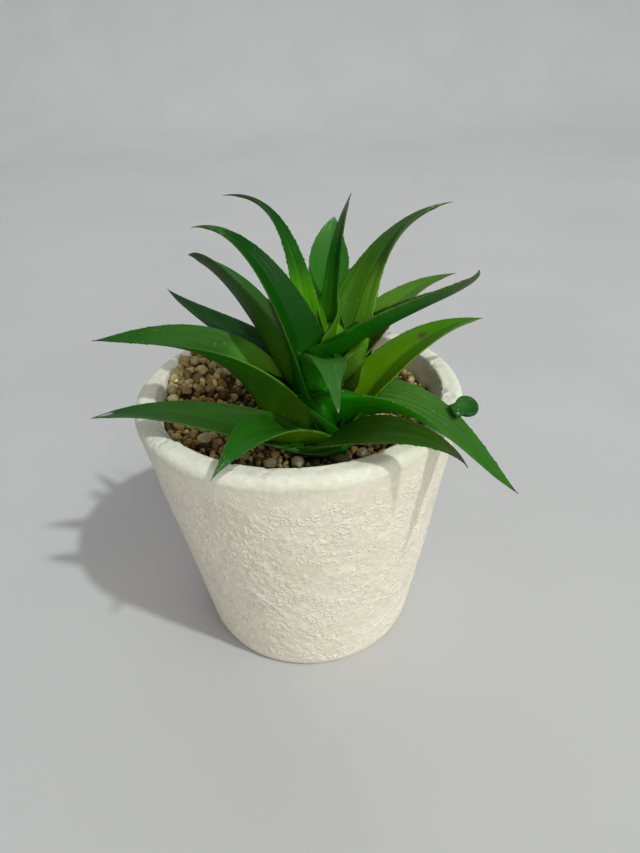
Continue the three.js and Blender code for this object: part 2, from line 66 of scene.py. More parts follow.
# name, azimuth a0 a1 a2, elevation e0 e1 e2 e3, length, seat height, half width,
# width powers p b, roll r0 r1, fold, keel, azimuth a3, width c, seat x y,
# seat turn, roll r2, fold opening
LEAVES = [
    ("leaf_upper_left_tall", 109.66, -10.16, 23.53, 87.84, -64.2, -23.64, -13.14, 48.71, 82.61, 4.58, 1.17, -0.03, 1.5, 2.66, 37.92, 0.39, 33.41, -0.28, -0.86, 0.17, 20.93, 2.07, 0.44),
    ("leaf_left_large", 157.73, -29.04, 1.26, 82.68, -33.99, -15.32, -52.53, 46.94, 78.8, 7.79, 1.17, 0.22, -10.25, -3.43, 32.9, 0.39, 18.77, -0.4, -0.41, -1.39, 43.68, 4.81, 0.58),
    ("leaf_left_mid", 169.15, -40.06, -7.73, 65.53, -8.74, -30.13, -38.19, 41.53, 76.78, 7.77, 0.97, 1.11, 25.91, -0.81, 21.36, 0.37, 18.98, 0.06, -1.5, 0.99, -17.37, 13.28, 0.53),
    ("leaf_left_back", 139.61, -6.78, -1.46, 37.79, -56.66, 8.18, 27.69, 53.88, 70.93, 7.46, 1.07, 0.66, -0.6, 0.99, 32.21, 0.4, 0.28, -0.07, -0.05, 0.11, -2.52, 4.95, 0.55),
    ("leaf_left_long", 167.73, -9, 3.3, 86.1, -148.74, 3.27, 59.34, 52.52, 67.34, 8.41, 1.12, 0.63, 32.69, -64.7, 43.02, 0.51, 26.18, -0.21, -5.77, 1.65, 20.48, -22.09, 0.95),
    ("leaf_left_low", 187.54, -33.15, 5.44, 27.38, -14.04, -33.67, 1.55, 49.48, 66.3, 6.14, 0.99, 0.84, -7.21, -5.55, 18.63, 0.3, 11.83, 0.14, -2.04, -3.4, 37.61, 18.77, 0.61),
    ("leaf_front_left", 189.67, 111.47, 8.13, 37.67, -0.97, -37.64, -29.61, 40.35, 64.03, 6.86, 1.28, 1.25, 21.54, -34.91, 19.01, 0.39, -79.08, 0.04, 1.88, 0.54, 43.81, -52.16, 0.37),
    ("leaf_front_centre", -78.04, 0.96, 0.18, 114.5, -134.89, -33.06, -50.77, 30.14, 71.49, 6.56, 0.93, 0.84, -2, -13.39, 35.11, 0.4, -1.77, 0.02, -0.37, 1.08, -19.94, -15.07, 0.5),
    ("leaf_right_long", -24.72, -35.49, -12.43, 52.96, -147.35, 8.94, 69.05, 49.44, 67.77, 7.71, 1.05, 0.62, -5.99, -4.03, 35.58, 0.38, 17.07, -0.09, -0.82, 0.83, 38.12, 12.49, 0.49),
    ("leaf_right_low", -45.26, 2.01, 15.83, 38.45, -0.1, -42.63, -53.97, 41.04, 66.64, 5.38, 1.14, 0.98, -7.38, 39.1, 8.7, 0.3, 12.21, -0.2, -2.66, -4.32, -59.03, 49.85, 0.57),
    ("leaf_right_broad", 18.99, 28.32, -0.31, 63.82, -84.16, -29.93, 37.53, 48.75, 67.04, 6.86, 1.09, 0.7, 1.95, 10.61, 31.91, 0.37, -13.94, -0.01, 1.44, -1.18, -29.03, -7.74, 0.6),
    ("leaf_right_upcurved", -0.89, 44.42, 16.58, 37.55, -56.35, -29.55, 44.45, 52.07, 83.72, 5.73, 1.02, 0.67, -22.74, 0.09, 27.23, 0.27, 11.93, -0.03, -1.62, 1.55, -52.33, -16.45, 0.58),
    ("leaf_right_back", 41.6, 18.84, -13.37, 30.81, -22.28, -4.6, -6.15, 49.16, 75.72, 7.45, 1.08, 0.64, 2.67, 5.72, 32.17, 0.39, -28.86, -0.16, -0.26, 0.53, 17.58, -6.26, 0.63),
    ("leaf_upper_right", 59.59, -6.93, -22.14, 55.6, -31.24, -3.97, -21.19, 50.93, 81.45, 7.66, 1.13, 0.29, -0.74, -9.33, 28.02, 0.4, -18.39, -0.35, 1.28, -0.4, -32.13, -6.67, 0.52),
    ("leaf_centre_narrow", 33.74, 10.35, -0.37, 83.43, 1.5, -0.3, -30.25, 29.99, 86.79, 2.98, 1.03, 0.62, 2.76, 4.27, 24.08, 0.4, -8.42, -0.09, -0.43, 0.19, 17.24, 4.58, 0.55),
    ("leaf_centre_broad", 102.94, -23.64, -13.4, 54.29, -61.73, 19.86, 24.31, 33.96, 85.93, 6.17, 0.76, 0.84, 12.82, -8.11, 30.81, 0.4, 6.52, 0.15, 1.96, 0.13, -53.17, -9.89, 0.62),
    ("leaf_rear_left", 112, 6, 0, 46, -48, -6, 0, 45, 70.5, 7.2, 1, 0.65, 0, 4, 32, 0.4, 0, -0.2, 0, 0, 0, 0, 0.55),
    ("leaf_rear_middle", 86, -5, 0, 44, -52, -4, 0, 43, 68.5, 7.4, 1, 0.65, 0, -4, 32, 0.4, 0, -0.2, 0, 0, 0, 0, 0.55),
    ("leaf_rear_right", 58, 4, 0, 45, -50, -8, 0, 46, 69.5, 7.2, 1, 0.65, 0, 3, 32, 0.4, 0, -0.2, 0, 0, 0, 0, 0.55),
    ("leaf_rear_upper", 62, -2, 0, 52, -30, -6, 0, 41, 76, 8.0, 0.9, 0.7, 0, 0, 28, 0.4, 0, -0.2, 0, 0, 0, 0, 0.55),
]

# Larger stones on the gravel: x, y, half length, half height, turn.
PEBBLES = [
    (-18.5, 12.4, 1.6, 1.2, 20),
    (-27.2, 15.4, 1.6, 1.1, 70),
    (-28.2, 2.2, 1.7, 1.2, 130),
    (-22.2, -16.2, 1.8, 1.3, 40),
    (-7.2, -26.6, 1.6, 1.2, 15),
    (-1.2, -27.2, 1.9, 1.4, 95),
    (8.2, -26.8, 1.8, 1.3, 160),
    (12.9, -24.8, 1.5, 1.1, 60),
]


# ------------------------------------------------------------------ helpers
def inner_radius(z):
    return RIM_RADIUS - WALL - SLOPE * (POT_HEIGHT - z)


def stem_axis(z):
    up = np.maximum(0.0, z - LEAN_FROM)
    return np.array([STEM_X + LEAN_X * up, STEM_Y + LEAN_Y * up, z])


def bed_height(x, y):
    r = np.hypot(x, y)
    a = np.degrees(np.arctan2(y, x)) - MOUND_ANGLE
    a = np.where(a < -180, a + 360, a)
    rise = np.clip((r - 10) / 22, 0, 1)
    d = np.hypot(x - STEM_X, y - STEM_Y)
    t = np.clip((d - DISH_FROM) / (DISH_TO - DISH_FROM), 0, 1)
    return (
        BED_LEVEL
        - DISH_DEPTH * (1 - t * t * (3 - 2 * t))
        + MOUND_HEIGHT * np.exp(-((a / MOUND_WIDTH) ** 2)) * rise * rise * (3 - 2 * rise)
    )


def smooth(a, b, x):
    t = np.clip((x - a) / (b - a), 0, 1)
    return t * t * (3 - 2 * t)


GRAD = np.array(
    [
        (1, 1, 0), (-1, 1, 0), (1, -1, 0), (-1, -1, 0),
        (1, 0, 1), (-1, 0, 1), (1, 0, -1), (-1, 0, -1),
        (0, 1, 1), (0, -1, 1), (0, 1, -1), (0, -1, -1),
        (1, 1, 0), (-1, 1, 0), (0, -1, 1), (0, -1, -1),
    ],
    float,
)


def perlin(p, seed=0):
    """Gradient noise from about -1 to 1 at points p (n, 3)."""
    p = np.asarray(p, float)
    i = np.floor(p).astype(np.int64)
    f = p - i
    w = f * f * f * (f * (f * 6 - 15) + 10)
    out = np.zeros(len(p))
    for dx in (0, 1):
        for dy in (0, 1):
            for dz in (0, 1):
                h = (
                    (i[:, 0] + dx) * 73856093
                    ^ (i[:, 1] + dy) * 19349663
                    ^ (i[:, 2] + dz) * 83492791
                    ^ (seed * 2654435761)
                ) & 0xFFFFFFFF
                h = ((h ^ (h >> 15)) * 2246822519) & 0xFFFFFFFF
                h = ((h ^ (h >> 13)) * 3266489917) & 0xFFFFFFFF
                h = (h ^ (h >> 16)) & 15
                d = f - np.array([dx, dy, dz], float)
                g = (GRAD[h] * d).sum(1)
                k = (
                    (w[:, 0] if dx else 1 - w[:, 0])
                    * (w[:, 1] if dy else 1 - w[:, 1])
                    * (w[:, 2] if dz else 1 - w[:, 2])
                )
                out += g * k
    return out


def fbm(p, octaves=3, seed=0):
    out, amp, total = 0, 1.0, 0.0
    for k in range(octaves):
        out = out + amp * perlin(np.asarray(p) * (2.03**k), seed + 17 * k)
        total += amp
        amp *= 0.5
    return out / total


def make_mesh(name, verts, quads, tris=(), attributes=None, flat=False):
    """A mesh object from arrays, in millimetres, with named vertex attributes."""
    verts = np.asarray(verts, float) * MM
    quads = np.asarray(quads, np.int64).reshape(-1, 4)
    tris = np.asarray(tris, np.int64).reshape(-1, 3)
    me = bpy.data.meshes.new(name)
    me.vertices.add(len(verts))
    me.vertices.foreach_set("co", verts.astype(np.float32).ravel())
    loops = np.concatenate([quads.ravel(), tris.ravel()]).astype(np.int32)
    me.loops.add(len(loops))
    me.loops.foreach_set("vertex_index", loops)
    starts = np.concatenate(
        [np.arange(len(quads)) * 4, len(quads) * 4 + np.arange(len(tris)) * 3]
    ).astype(np.int32)
    me.polygons.add(len(starts))
    me.polygons.foreach_set("loop_start", starts)
    me.polygons.foreach_set(
        "use_smooth", np.full(len(starts), not flat, dtype=bool)
    )
    for key, values in (attributes or {}).items():
        a = me.attributes.new(key, "FLOAT", "POINT")
        a.data.foreach_set("value", np.asarray(values, np.float32))
    me.update(calc_edges=True)
    me.validate()
    o = bpy.data.objects.new(name, me)
    bpy.context.scene.collection.objects.link(o)
    return o


def ring_quads(rows, cols, close=True):
    """Quads of a grid of rows of vertices, each row a closed ring."""
    i = np.arange(rows - 1)[:, None] * cols
    j = np.arange(cols if close else cols - 1)[None]
    k = (j + 1) % cols
    return np.stack([i + j, i + k, i + cols + k, i + cols + j], -1).reshape(-1, 4)


def ride(o, slot, *nodes):
    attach(o, "root")
    if nodes:
        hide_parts(*nodes)
    return o


# ------------------------------------------------------------------ shader helpers
class Tree:
    """Short names for building a node tree."""

    def __init__(self, name):
        self.mat = bpy.data.materials.new(name)
        self.mat.use_nodes = True
        self.t = self.mat.node_tree
        self.t.nodes.clear()
        self.out = self.t.nodes.new("ShaderNodeOutputMaterial")
        self.bsdf = self.t.nodes.new("ShaderNodeBsdfPrincipled")
        self.link(self.bsdf.outputs["BSDF"], self.out.inputs["Surface"])

    def node(self, kind, **values):
        n = self.t.nodes.new(kind)
        for k, v in values.items():
            setattr(n, k, v)
        return n

    def link(self, a, b):
        self.t.links.new(a, b)

    def put(self, socket, value):
        if isinstance(value, bpy.types.NodeSocket):
            self.link(value, socket)
        else:
            socket.default_value = value

    def math(self, op, a, b=0.0, c=0.0, clamp=False):
        n = self.node("ShaderNodeMath", operation=op, use_clamp=clamp)
        for s, v in zip(n.inputs, (a, b, c)):
            self.put(s, v)
        return n.outputs[0]

    def attribute(self, name):
        return self.node("ShaderNodeAttribute", attribute_name=name).outputs["Fac"]

    def mix(self, fac, a, b, blend="MIX"):
        n = self.node("ShaderNodeMix", data_type="RGBA", blend_type=blend)
        n.clamp_factor = True
        self.put(n.inputs[0], fac)
        for s, v in ((n.inputs[6], a), (n.inputs[7], b)):
            self.put(s, v if isinstance(v, bpy.types.NodeSocket) else (*v[:3], 1.0))
        return n.outputs[2]

    def ramp(self, fac, stops, mode="LINEAR"):
        n = self.node("ShaderNodeValToRGB")
        n.color_ramp.interpolation = mode
        e = n.color_ramp.elements
        while len(e) > 1:
            e.remove(e[-1])
        e[0].position = stops[0][0]
        e[0].color = (*stops[0][1], 1)
        for pos, col in stops[1:]:
            q = e.new(pos)
            q.color = (*col, 1)
        self.put(n.inputs[0], fac)
        return n.outputs[0]

    def span(self, value, a, b, c=0.0, d=1.0, kind="SMOOTHSTEP"):
        n = self.node("ShaderNodeMapRange", interpolation_type=kind)
        for s, v in zip(n.inputs, (value, a, b, c, d)):
            self.put(s, v)
        return n.outputs[0]

    def combine(self, x, y, z):
        n = self.node("ShaderNodeCombineXYZ")
        for s, v in zip(n.inputs, (x, y, z)):
            self.put(s, v)
        return n.outputs[0]

    def place(self):
        return self.node("ShaderNodeTexCoord").outputs["Object"]

    def height(self, vector):
        n = self.node("ShaderNodeSeparateXYZ")
        self.link(vector, n.inputs[0])
        return n.outputs[2]

    def noise(self, vector, scale, detail=3.0, rough=0.5, distort=0.0, out=0):
        n = self.node("ShaderNodeTexNoise")
        self.link(vector, n.inputs["Vector"])
        n.inputs["Scale"].default_value = scale
        n.inputs["Detail"].default_value = detail
        n.inputs["Roughness"].default_value = rough
        n.inputs["Distortion"].default_value = distort
        return n.outputs[out]

    def voronoi(self, vector, scale, feature="F1", out=0, random=1.0):
        n = self.node("ShaderNodeTexVoronoi", feature=feature)
        self.link(vector, n.inputs["Vector"])
        n.inputs["Scale"].default_value = scale
        n.inputs["Randomness"].default_value = random
        return n.outputs[out]

    def bump(self, height, strength, distance, normal=None):
        n = self.node("ShaderNodeBump")
        n.inputs["Strength"].default_value = strength
        n.inputs["Distance"].default_value = distance
        self.link(height, n.inputs["Height"])
        if normal is not None:
            self.link(normal, n.inputs["Normal"])
        return n.outputs[0]

    def finish(self, colour=None, roughness=None, normal=None, **constants):
        b = self.bsdf
        if colour is not None:
            self.put(b.inputs["Base Color"], colour)
        if roughness is not None:
            self.put(b.inputs["Roughness"], roughness)
        if normal is not None:
            self.link(normal, b.inputs["Normal"])
        for k, v in constants.items():
            b.inputs[k.replace("_", " ")].default_value = v
        return self.mat


def srgb(r, g, b):
    """Linear colour of 0-255 screen numbers."""
    return tuple(
        (c / 255 / 12.92 if c / 255 <= 0.04045 else ((c / 255 + 0.055) / 1.055) ** 2.4)
        for c in (r, g, b)
    )


# ------------------------------------------------------------------ leaves
def leaf_frame(row, S):
    """Midline M, forward T, side B, inner normal N, half width W, fold at stations S."""
    (a0, a1, a2, e0, e1, e2, e3, length, seat, W0, p, b, r0, r1, fold, keel, a3, c,
     ox, oy, turn, r2, fs) = row[1:]

    def angles(s):
        return (
            np.radians(a0 + a1 * s + a2 * s * s + a3 * s**3),
            np.radians(e0 + e1 * s + e2 * s * s + e3 * s**3),
        )

    fine = 384
    mid = (np.arange(fine) + 0.5) / fine
    a, e = angles(mid)
    step = np.stack([np.cos(e) * np.cos(a), np.cos(e) * np.sin(a), np.sin(e)], 1)
    lean = seat - LEAN_FROM
    t0 = math.radians(a0 + turn)
    start = np.array(
        [
            ox + STEM_X + LEAN_X * lean + LEAF_SEAT * math.cos(t0),
            oy + STEM_Y + LEAN_Y * lean + LEAF_SEAT * math.sin(t0),
            seat,
        ]
    )
    line = np.vstack([start, start + np.cumsum(step * (length / fine), 0)])
    grid = np.linspace(0, 1, fine + 1)
    M = np.stack([np.interp(S, grid, line[:, k]) for k in range(3)], 1)
    a, e = angles(S)
    T = np.stack([np.cos(e) * np.cos(a), np.cos(e) * np.sin(a), np.sin(e)], 1)
    side = np.stack([-np.sin(a), np.cos(a), 0 * a], 1)
    up = np.cross(T, side)
    r = np.radians(r0 + r1 * S + r2 * S * S)[:, None]
    B = side * np.cos(r) + up * np.sin(r)
    N = up * np.cos(r) - side * np.sin(r)
    W = W0 * np.clip(1 - S, 0, 1) ** p * (1 + b * S + c * S * S)
    v = np.radians(fold * (1 - fs * S))
    return M, T, B, N, np.maximum(W, 0.0), v, keel, length


def build_leaf(row, look, seed):
    """A blade with real thickness, a folded top, a keel, toothed margins and veins. Its
    base widens into a thin sheath that wraps the stem, as in a moulded rosette."""
    n, na = 196, 33
    k = np.linspace(0, 1, n)
    S = k - 0.10 * np.sin(TAU * k) / TAU  # a little denser at both ends
    M, T, B, N, W, v, keel, length = leaf_frame(row, S)
    seat = row[9]
    web = look.get("web", 0.14)  # how far up the blade the sheath reaches
    wrap = look.get("wrap", 128.0)
    reach_l = math.radians(look.get("wrap_left", wrap))
    reach_r = math.radians(look.get("wrap_right", wrap))
    reach = max(reach_l, reach_r)
    r_cup = look.get("cup", 3.6 + 0.065 * max(0.0, 88.0 - seat))
    rise = look.get("rise", -1.5)
    W = np.maximum(W, 0.10)
    u = np.sin(np.linspace(1, -1, na) * math.pi / 2) * 0.45 + np.linspace(1, -1, na) * 0.55
    m = n
    SS = np.repeat(S[:, None], na, 1)
    U0 = np.repeat(u[None], m, 0)
    half = {1: W, -1: W}
    for sign, amount, upto in look.get("pinch", []):  # a margin that starts narrower
        half[sign] = W * (1 - amount * (1 - smooth(0.0, upto, S)))
    for sign, at, factor in look.get("slim", []):  # a margin that is hollowed or swollen
        change = np.pad(np.interp(S, at, factor), 7, "edge")
        half[sign] = half[sign] * np.convolve(change, np.ones(15) / 15, "valid")
    WW = np.where(U0 > 0, half[1][:, None], half[-1][:, None])
    fade = (1 - smooth(0.0, web, S)) ** 1.4

    def section_margin(sign):
        h = half[sign]
        p = M + (h * np.cos(v) * sign)[:, None] * B + (h * np.sin(v))[:, None] * N
        up = np.maximum(0.0, p[:, 2] - LEAN_FROM)
        ax = STEM_X + LEAN_X * up
        ay = STEM_Y + LEAN_Y * up
        d = p[:, :2] - np.stack([ax, ay], 1)
        return p, np.hypot(d[:, 0], d[:, 1]), np.arctan2(d[:, 1], d[:, 0])

    a_seat = math.radians(row[1] + row[21])
    left, right = section_margin(1), section_margin(-1)

    def swing(side, sign):
        off = (side[2][0] - a_seat) * sign
        off = (off + math.pi) % TAU - math.pi
        if off < -1.0:  # this margin already crosses in front of the stem
            return 0.0 * fade
        return max(0.0, (reach_l if sign > 0 else reach_r) - off) * fade

    dl, dr = swing(left, 1), swing(right, -1)
    el = dl * r_cup / W[0]
    er = dr * r_cup / W[0]
    E = np.where(U0 > 0, el[:, None], er[:, None])
    X = U0 * (1 + E)
    U = np.clip(X, -1, 1)
    q = np.where(np.abs(X) > 1, (np.abs(X) - 1) / np.maximum(E, 1e-9), 0.0)
    along = SS * length
    tipfade = smooth(1.0, 0.90, SS)
    # toothed margins: small forward-pointing teeth on a thin edge
    pitch = look.get("pitch", 1.35)
    teeth = look.get("teeth", 0.22)
    ph = (along / pitch + seed * 0.37 + 0.15 * np.sin(along * 0.9 + seed)) % 1.0
    saw = np.where(ph < 0.72, ph / 0.72, (1 - ph) / 0.28) ** 1.4
    size = 0.55 + 0.45 * np.sin(along * 1.7 + 3.1 * np.sign(U) + seed)
    rim = smooth(0.86, 1.0, np.abs(U0))
    tooth = teeth * saw * size * rim * tipfade * smooth(web, web + 0.1, SS) * smooth(0.25, 1.6, WW)
    # surface relief
    core = M[:, None] + (WW * np.cos(v)[:, None] * U)[..., None] * B[:, None]
    qq = np.stack([U * 2.2, along / 16.0, np.full_like(U, seed * 7.3)], -1).reshape(-1, 3)
    wave = fbm(qq, 2, seed).reshape(m, na)
    veins = np.cos(U * look.get("veins", 17.0) + 0.6 * wave * 6) * (1 - np.abs(U) ** 3)
    q2 = np.stack([U * 7.0, along / 5.0, np.full_like(U, seed * 3.1)], -1).reshape(-1, 3)
    grain = fbm(q2, 2, seed + 5).reshape(m, na)
    q3 = np.stack([U * 1.6 + 4, along / 1.1, np.full_like(U, seed * 5.7)], -1).reshape(-1, 3)
    cross = perlin(q3, seed + 9).reshape(m, na)
    thick = smooth(0.1, 2.0, WW)
    relief = thick * (0.15 * wave + look.get("vein_height", 0.018) * veins + 0.03 * grain)
    wr = look.get("wrinkle", 0.0)  # cross wrinkles towards one or both margins
    ws = look.get("wrinkle_side", 0)
    region = smooth(0.15, 0.85, np.abs(U)) * (1.0 if ws == 0 else (np.sign(U) == ws))
    region = region * (1 - smooth(0, 0.05, q))
    relief = relief + wr * cross * region * thick * tipfade
    even = look.get("flat", 0.0) * smooth(0.15, 0.5, SS)
    a = WW * np.sin(v)[:, None] * (even + (1 - even) * np.abs(U) ** look.get("fold_power", 1.25))
    crease = -0.08 * np.exp(-((U / 0.07) ** 2)) * thick
    # the sheath: arcs round the stem that go on from the margins
    phi = np.where(
        U0 > 0, (left[2] + 0 * dl)[:, None] + q * dl[:, None], right[2][:, None] - q * dr[:, None]
    )
    r_m = np.where(U0 > 0, left[1][:, None], right[1][:, None])
    p_m = np.where((U0 > 0)[..., None], left[0][:, None], right[0][:, None])
    sq = q * q * (3 - 2 * q)
    rad = r_m + (r_cup - r_m) * sq * fade[:, None] ** 0.5
    z = p_m[..., 2] + rise * sq * fade[:, None] ** 0.5
    up = np.maximum(0.0, z - LEAN_FROM)
    ring_p = np.stack(
        [STEM_X + LEAN_X * up + rad * np.cos(phi), STEM_Y + LEAN_Y * up + rad * np.sin(phi), z], -1
    )
    outside = q > 0
    base = np.where(outside[..., None], ring_p, core)
    inward = np.stack([-np.cos(phi), -np.sin(phi), 0 * phi], -1)
    nn = N[:, None] * (1 - sq)[..., None] + inward * sq[..., None]
    nn /= np.linalg.norm(nn, axis=-1)[..., None]
    crease = crease * (1 - 0.8 * even)
    lift = np.where(outside, relief * (1 - sq), a + relief + crease)
    top = base + (tooth * np.sign(U0))[..., None] * B[:, None] + lift[..., None] * nn
    edge = 0.5 * np.clip((1 - SS) / 0.1, 0, 1)
    hem = np.minimum(edge, 0.34 + 0.8 * (1 - np.abs(U0))) * (1 - 0.35 * sq)
    depth = hem + keel * WW * (1 - np.abs(U) ** look.get("keel_power", 1.8))
    under_wave = fbm(qq + 11.3, 2, seed + 3).reshape(m, na)
    low = (
        lift
        - depth
        - relief * (1 - 0.5 * np.abs(U) ** 4)
        + thick * (0.12 * under_wave + 0.014 * np.cos(U * 15 + under_wave * 4)) * (1 - np.abs(U) ** 4)
        + wr * 0.8 * perlin(q3 + 31.7, seed + 21).reshape(m, na) * region * thick * tipfade
    )
    under = base + (tooth * np.sign(U0))[..., None] * B[:, None] + low[..., None] * nn
    # stations below the seat: the sheath closes on the stem
    nb = 16
    tb = np.linspace(0, 1, nb, endpoint=False)
    w = tb * tb * (3 - 2 * tb)
    drop = look.get("drop", 6.5)
    foot_z = max(seat - drop, 59.5)
    span_l = max(reach, 1.2)
    ang = a_seat + u * span_l
    fa = stem_axis(foot_z)
    foot_in = np.stack([fa[0] + 2.75 * np.cos(ang), fa[1] + 2.75 * np.sin(ang), np.full(na, foot_z)], -1)
    foot_out = np.stack([fa[0] + 3.25 * np.cos(ang), fa[1] + 3.25 * np.sin(ang), np.full(na, foot_z)], -1)
    # leave the seat along the blade, arrive along the stem
    lead = T[0] * drop * 0.55

    def below(foot, first):
        h00 = (1 + 2 * tb) * (1 - tb) ** 2
        h10 = tb * (1 - tb) ** 2
        h01 = tb**2 * (3 - 2 * tb)
        h11 = tb**2 * (tb - 1)
        up_dir = np.array([0, 0, drop * 0.9])
        return (
            h00[:, None, None] * foot[None]
            + h10[:, None, None] * up_dir
            + h01[:, None, None] * first[None]
            + h11[:, None, None] * lead
        )

    top = np.concatenate([below(foot_in, top[0]), top], 0)
    under = np.concatenate([below(foot_out, under[0]), under], 0)
    sheath = np.concatenate([np.maximum(1 - w[:, None], sq[0][None] * w[:, None]), sq], 0)
    sheath = np.maximum(sheath, np.concatenate([1 + 0 * w, (1 - smooth(0.0, 0.10, S))])[:, None] * 0.75)
    S = np.concatenate([-(1 - tb) * 0.12, S])
    m = len(S)
    ring = np.concatenate([top, under[:, ::-1]], 1)  # 2*na per station
    R = 2 * na
    verts = ring.reshape(-1, 3)
    quads = ring_quads(m, R)
    base_c = ring[0].mean(0)
    tip_c = ring[-1].mean(0) + T[-1] * 0.12
    verts = np.vstack([verts, base_c, tip_c])
    j = np.arange(R)
    kk = (j + 1) % R
    tris = np.vstack(
        [
            np.stack([(m - 1) * R + j, (m - 1) * R + kk, np.full(R, len(verts) - 1)], 1),
        ]
    )
    # the foot is a thin strip, so it closes with quads from inner to outer line
    i = np.arange(na - 1)
    foot = np.stack([i + 1, i, R - 1 - i, R - 2 - i], 1)
    quads = np.vstack([quads, foot])
    verts = np.delete(verts, len(verts) - 2, 0)
    tris = tris.copy()
    tris[:, 2] = len(verts) - 1
    flip = np.dot(np.cross(top[nb + 1, na // 2] - top[nb, na // 2], top[nb, na // 2 + 1] - top[nb, na // 2]), N[0])
    if flip > 0:
        quads = quads[:, ::-1]
        tris = tris[:, ::-1]
    s_at = np.concatenate([np.repeat(S, R), [1.0]])
    u_ring = np.concatenate([u, u[::-1]])
    u_at = np.concatenate([np.tile(u_ring, m), [0]])
    under_ring = np.concatenate([np.zeros(na), np.ones(na)])
    b_at = np.concatenate([np.tile(under_ring, m), [0.5]])
    sheath_at = np.concatenate(
        [np.concatenate([sheath, sheath[:, ::-1]], 1).reshape(-1), [0.0]]
    )
    return make_mesh(
        row[0] + "_blade",
        verts,
        quads,
        tris,
        {"along": s_at, "across": u_at, "beneath": b_at, "sheath": sheath_at},
    )


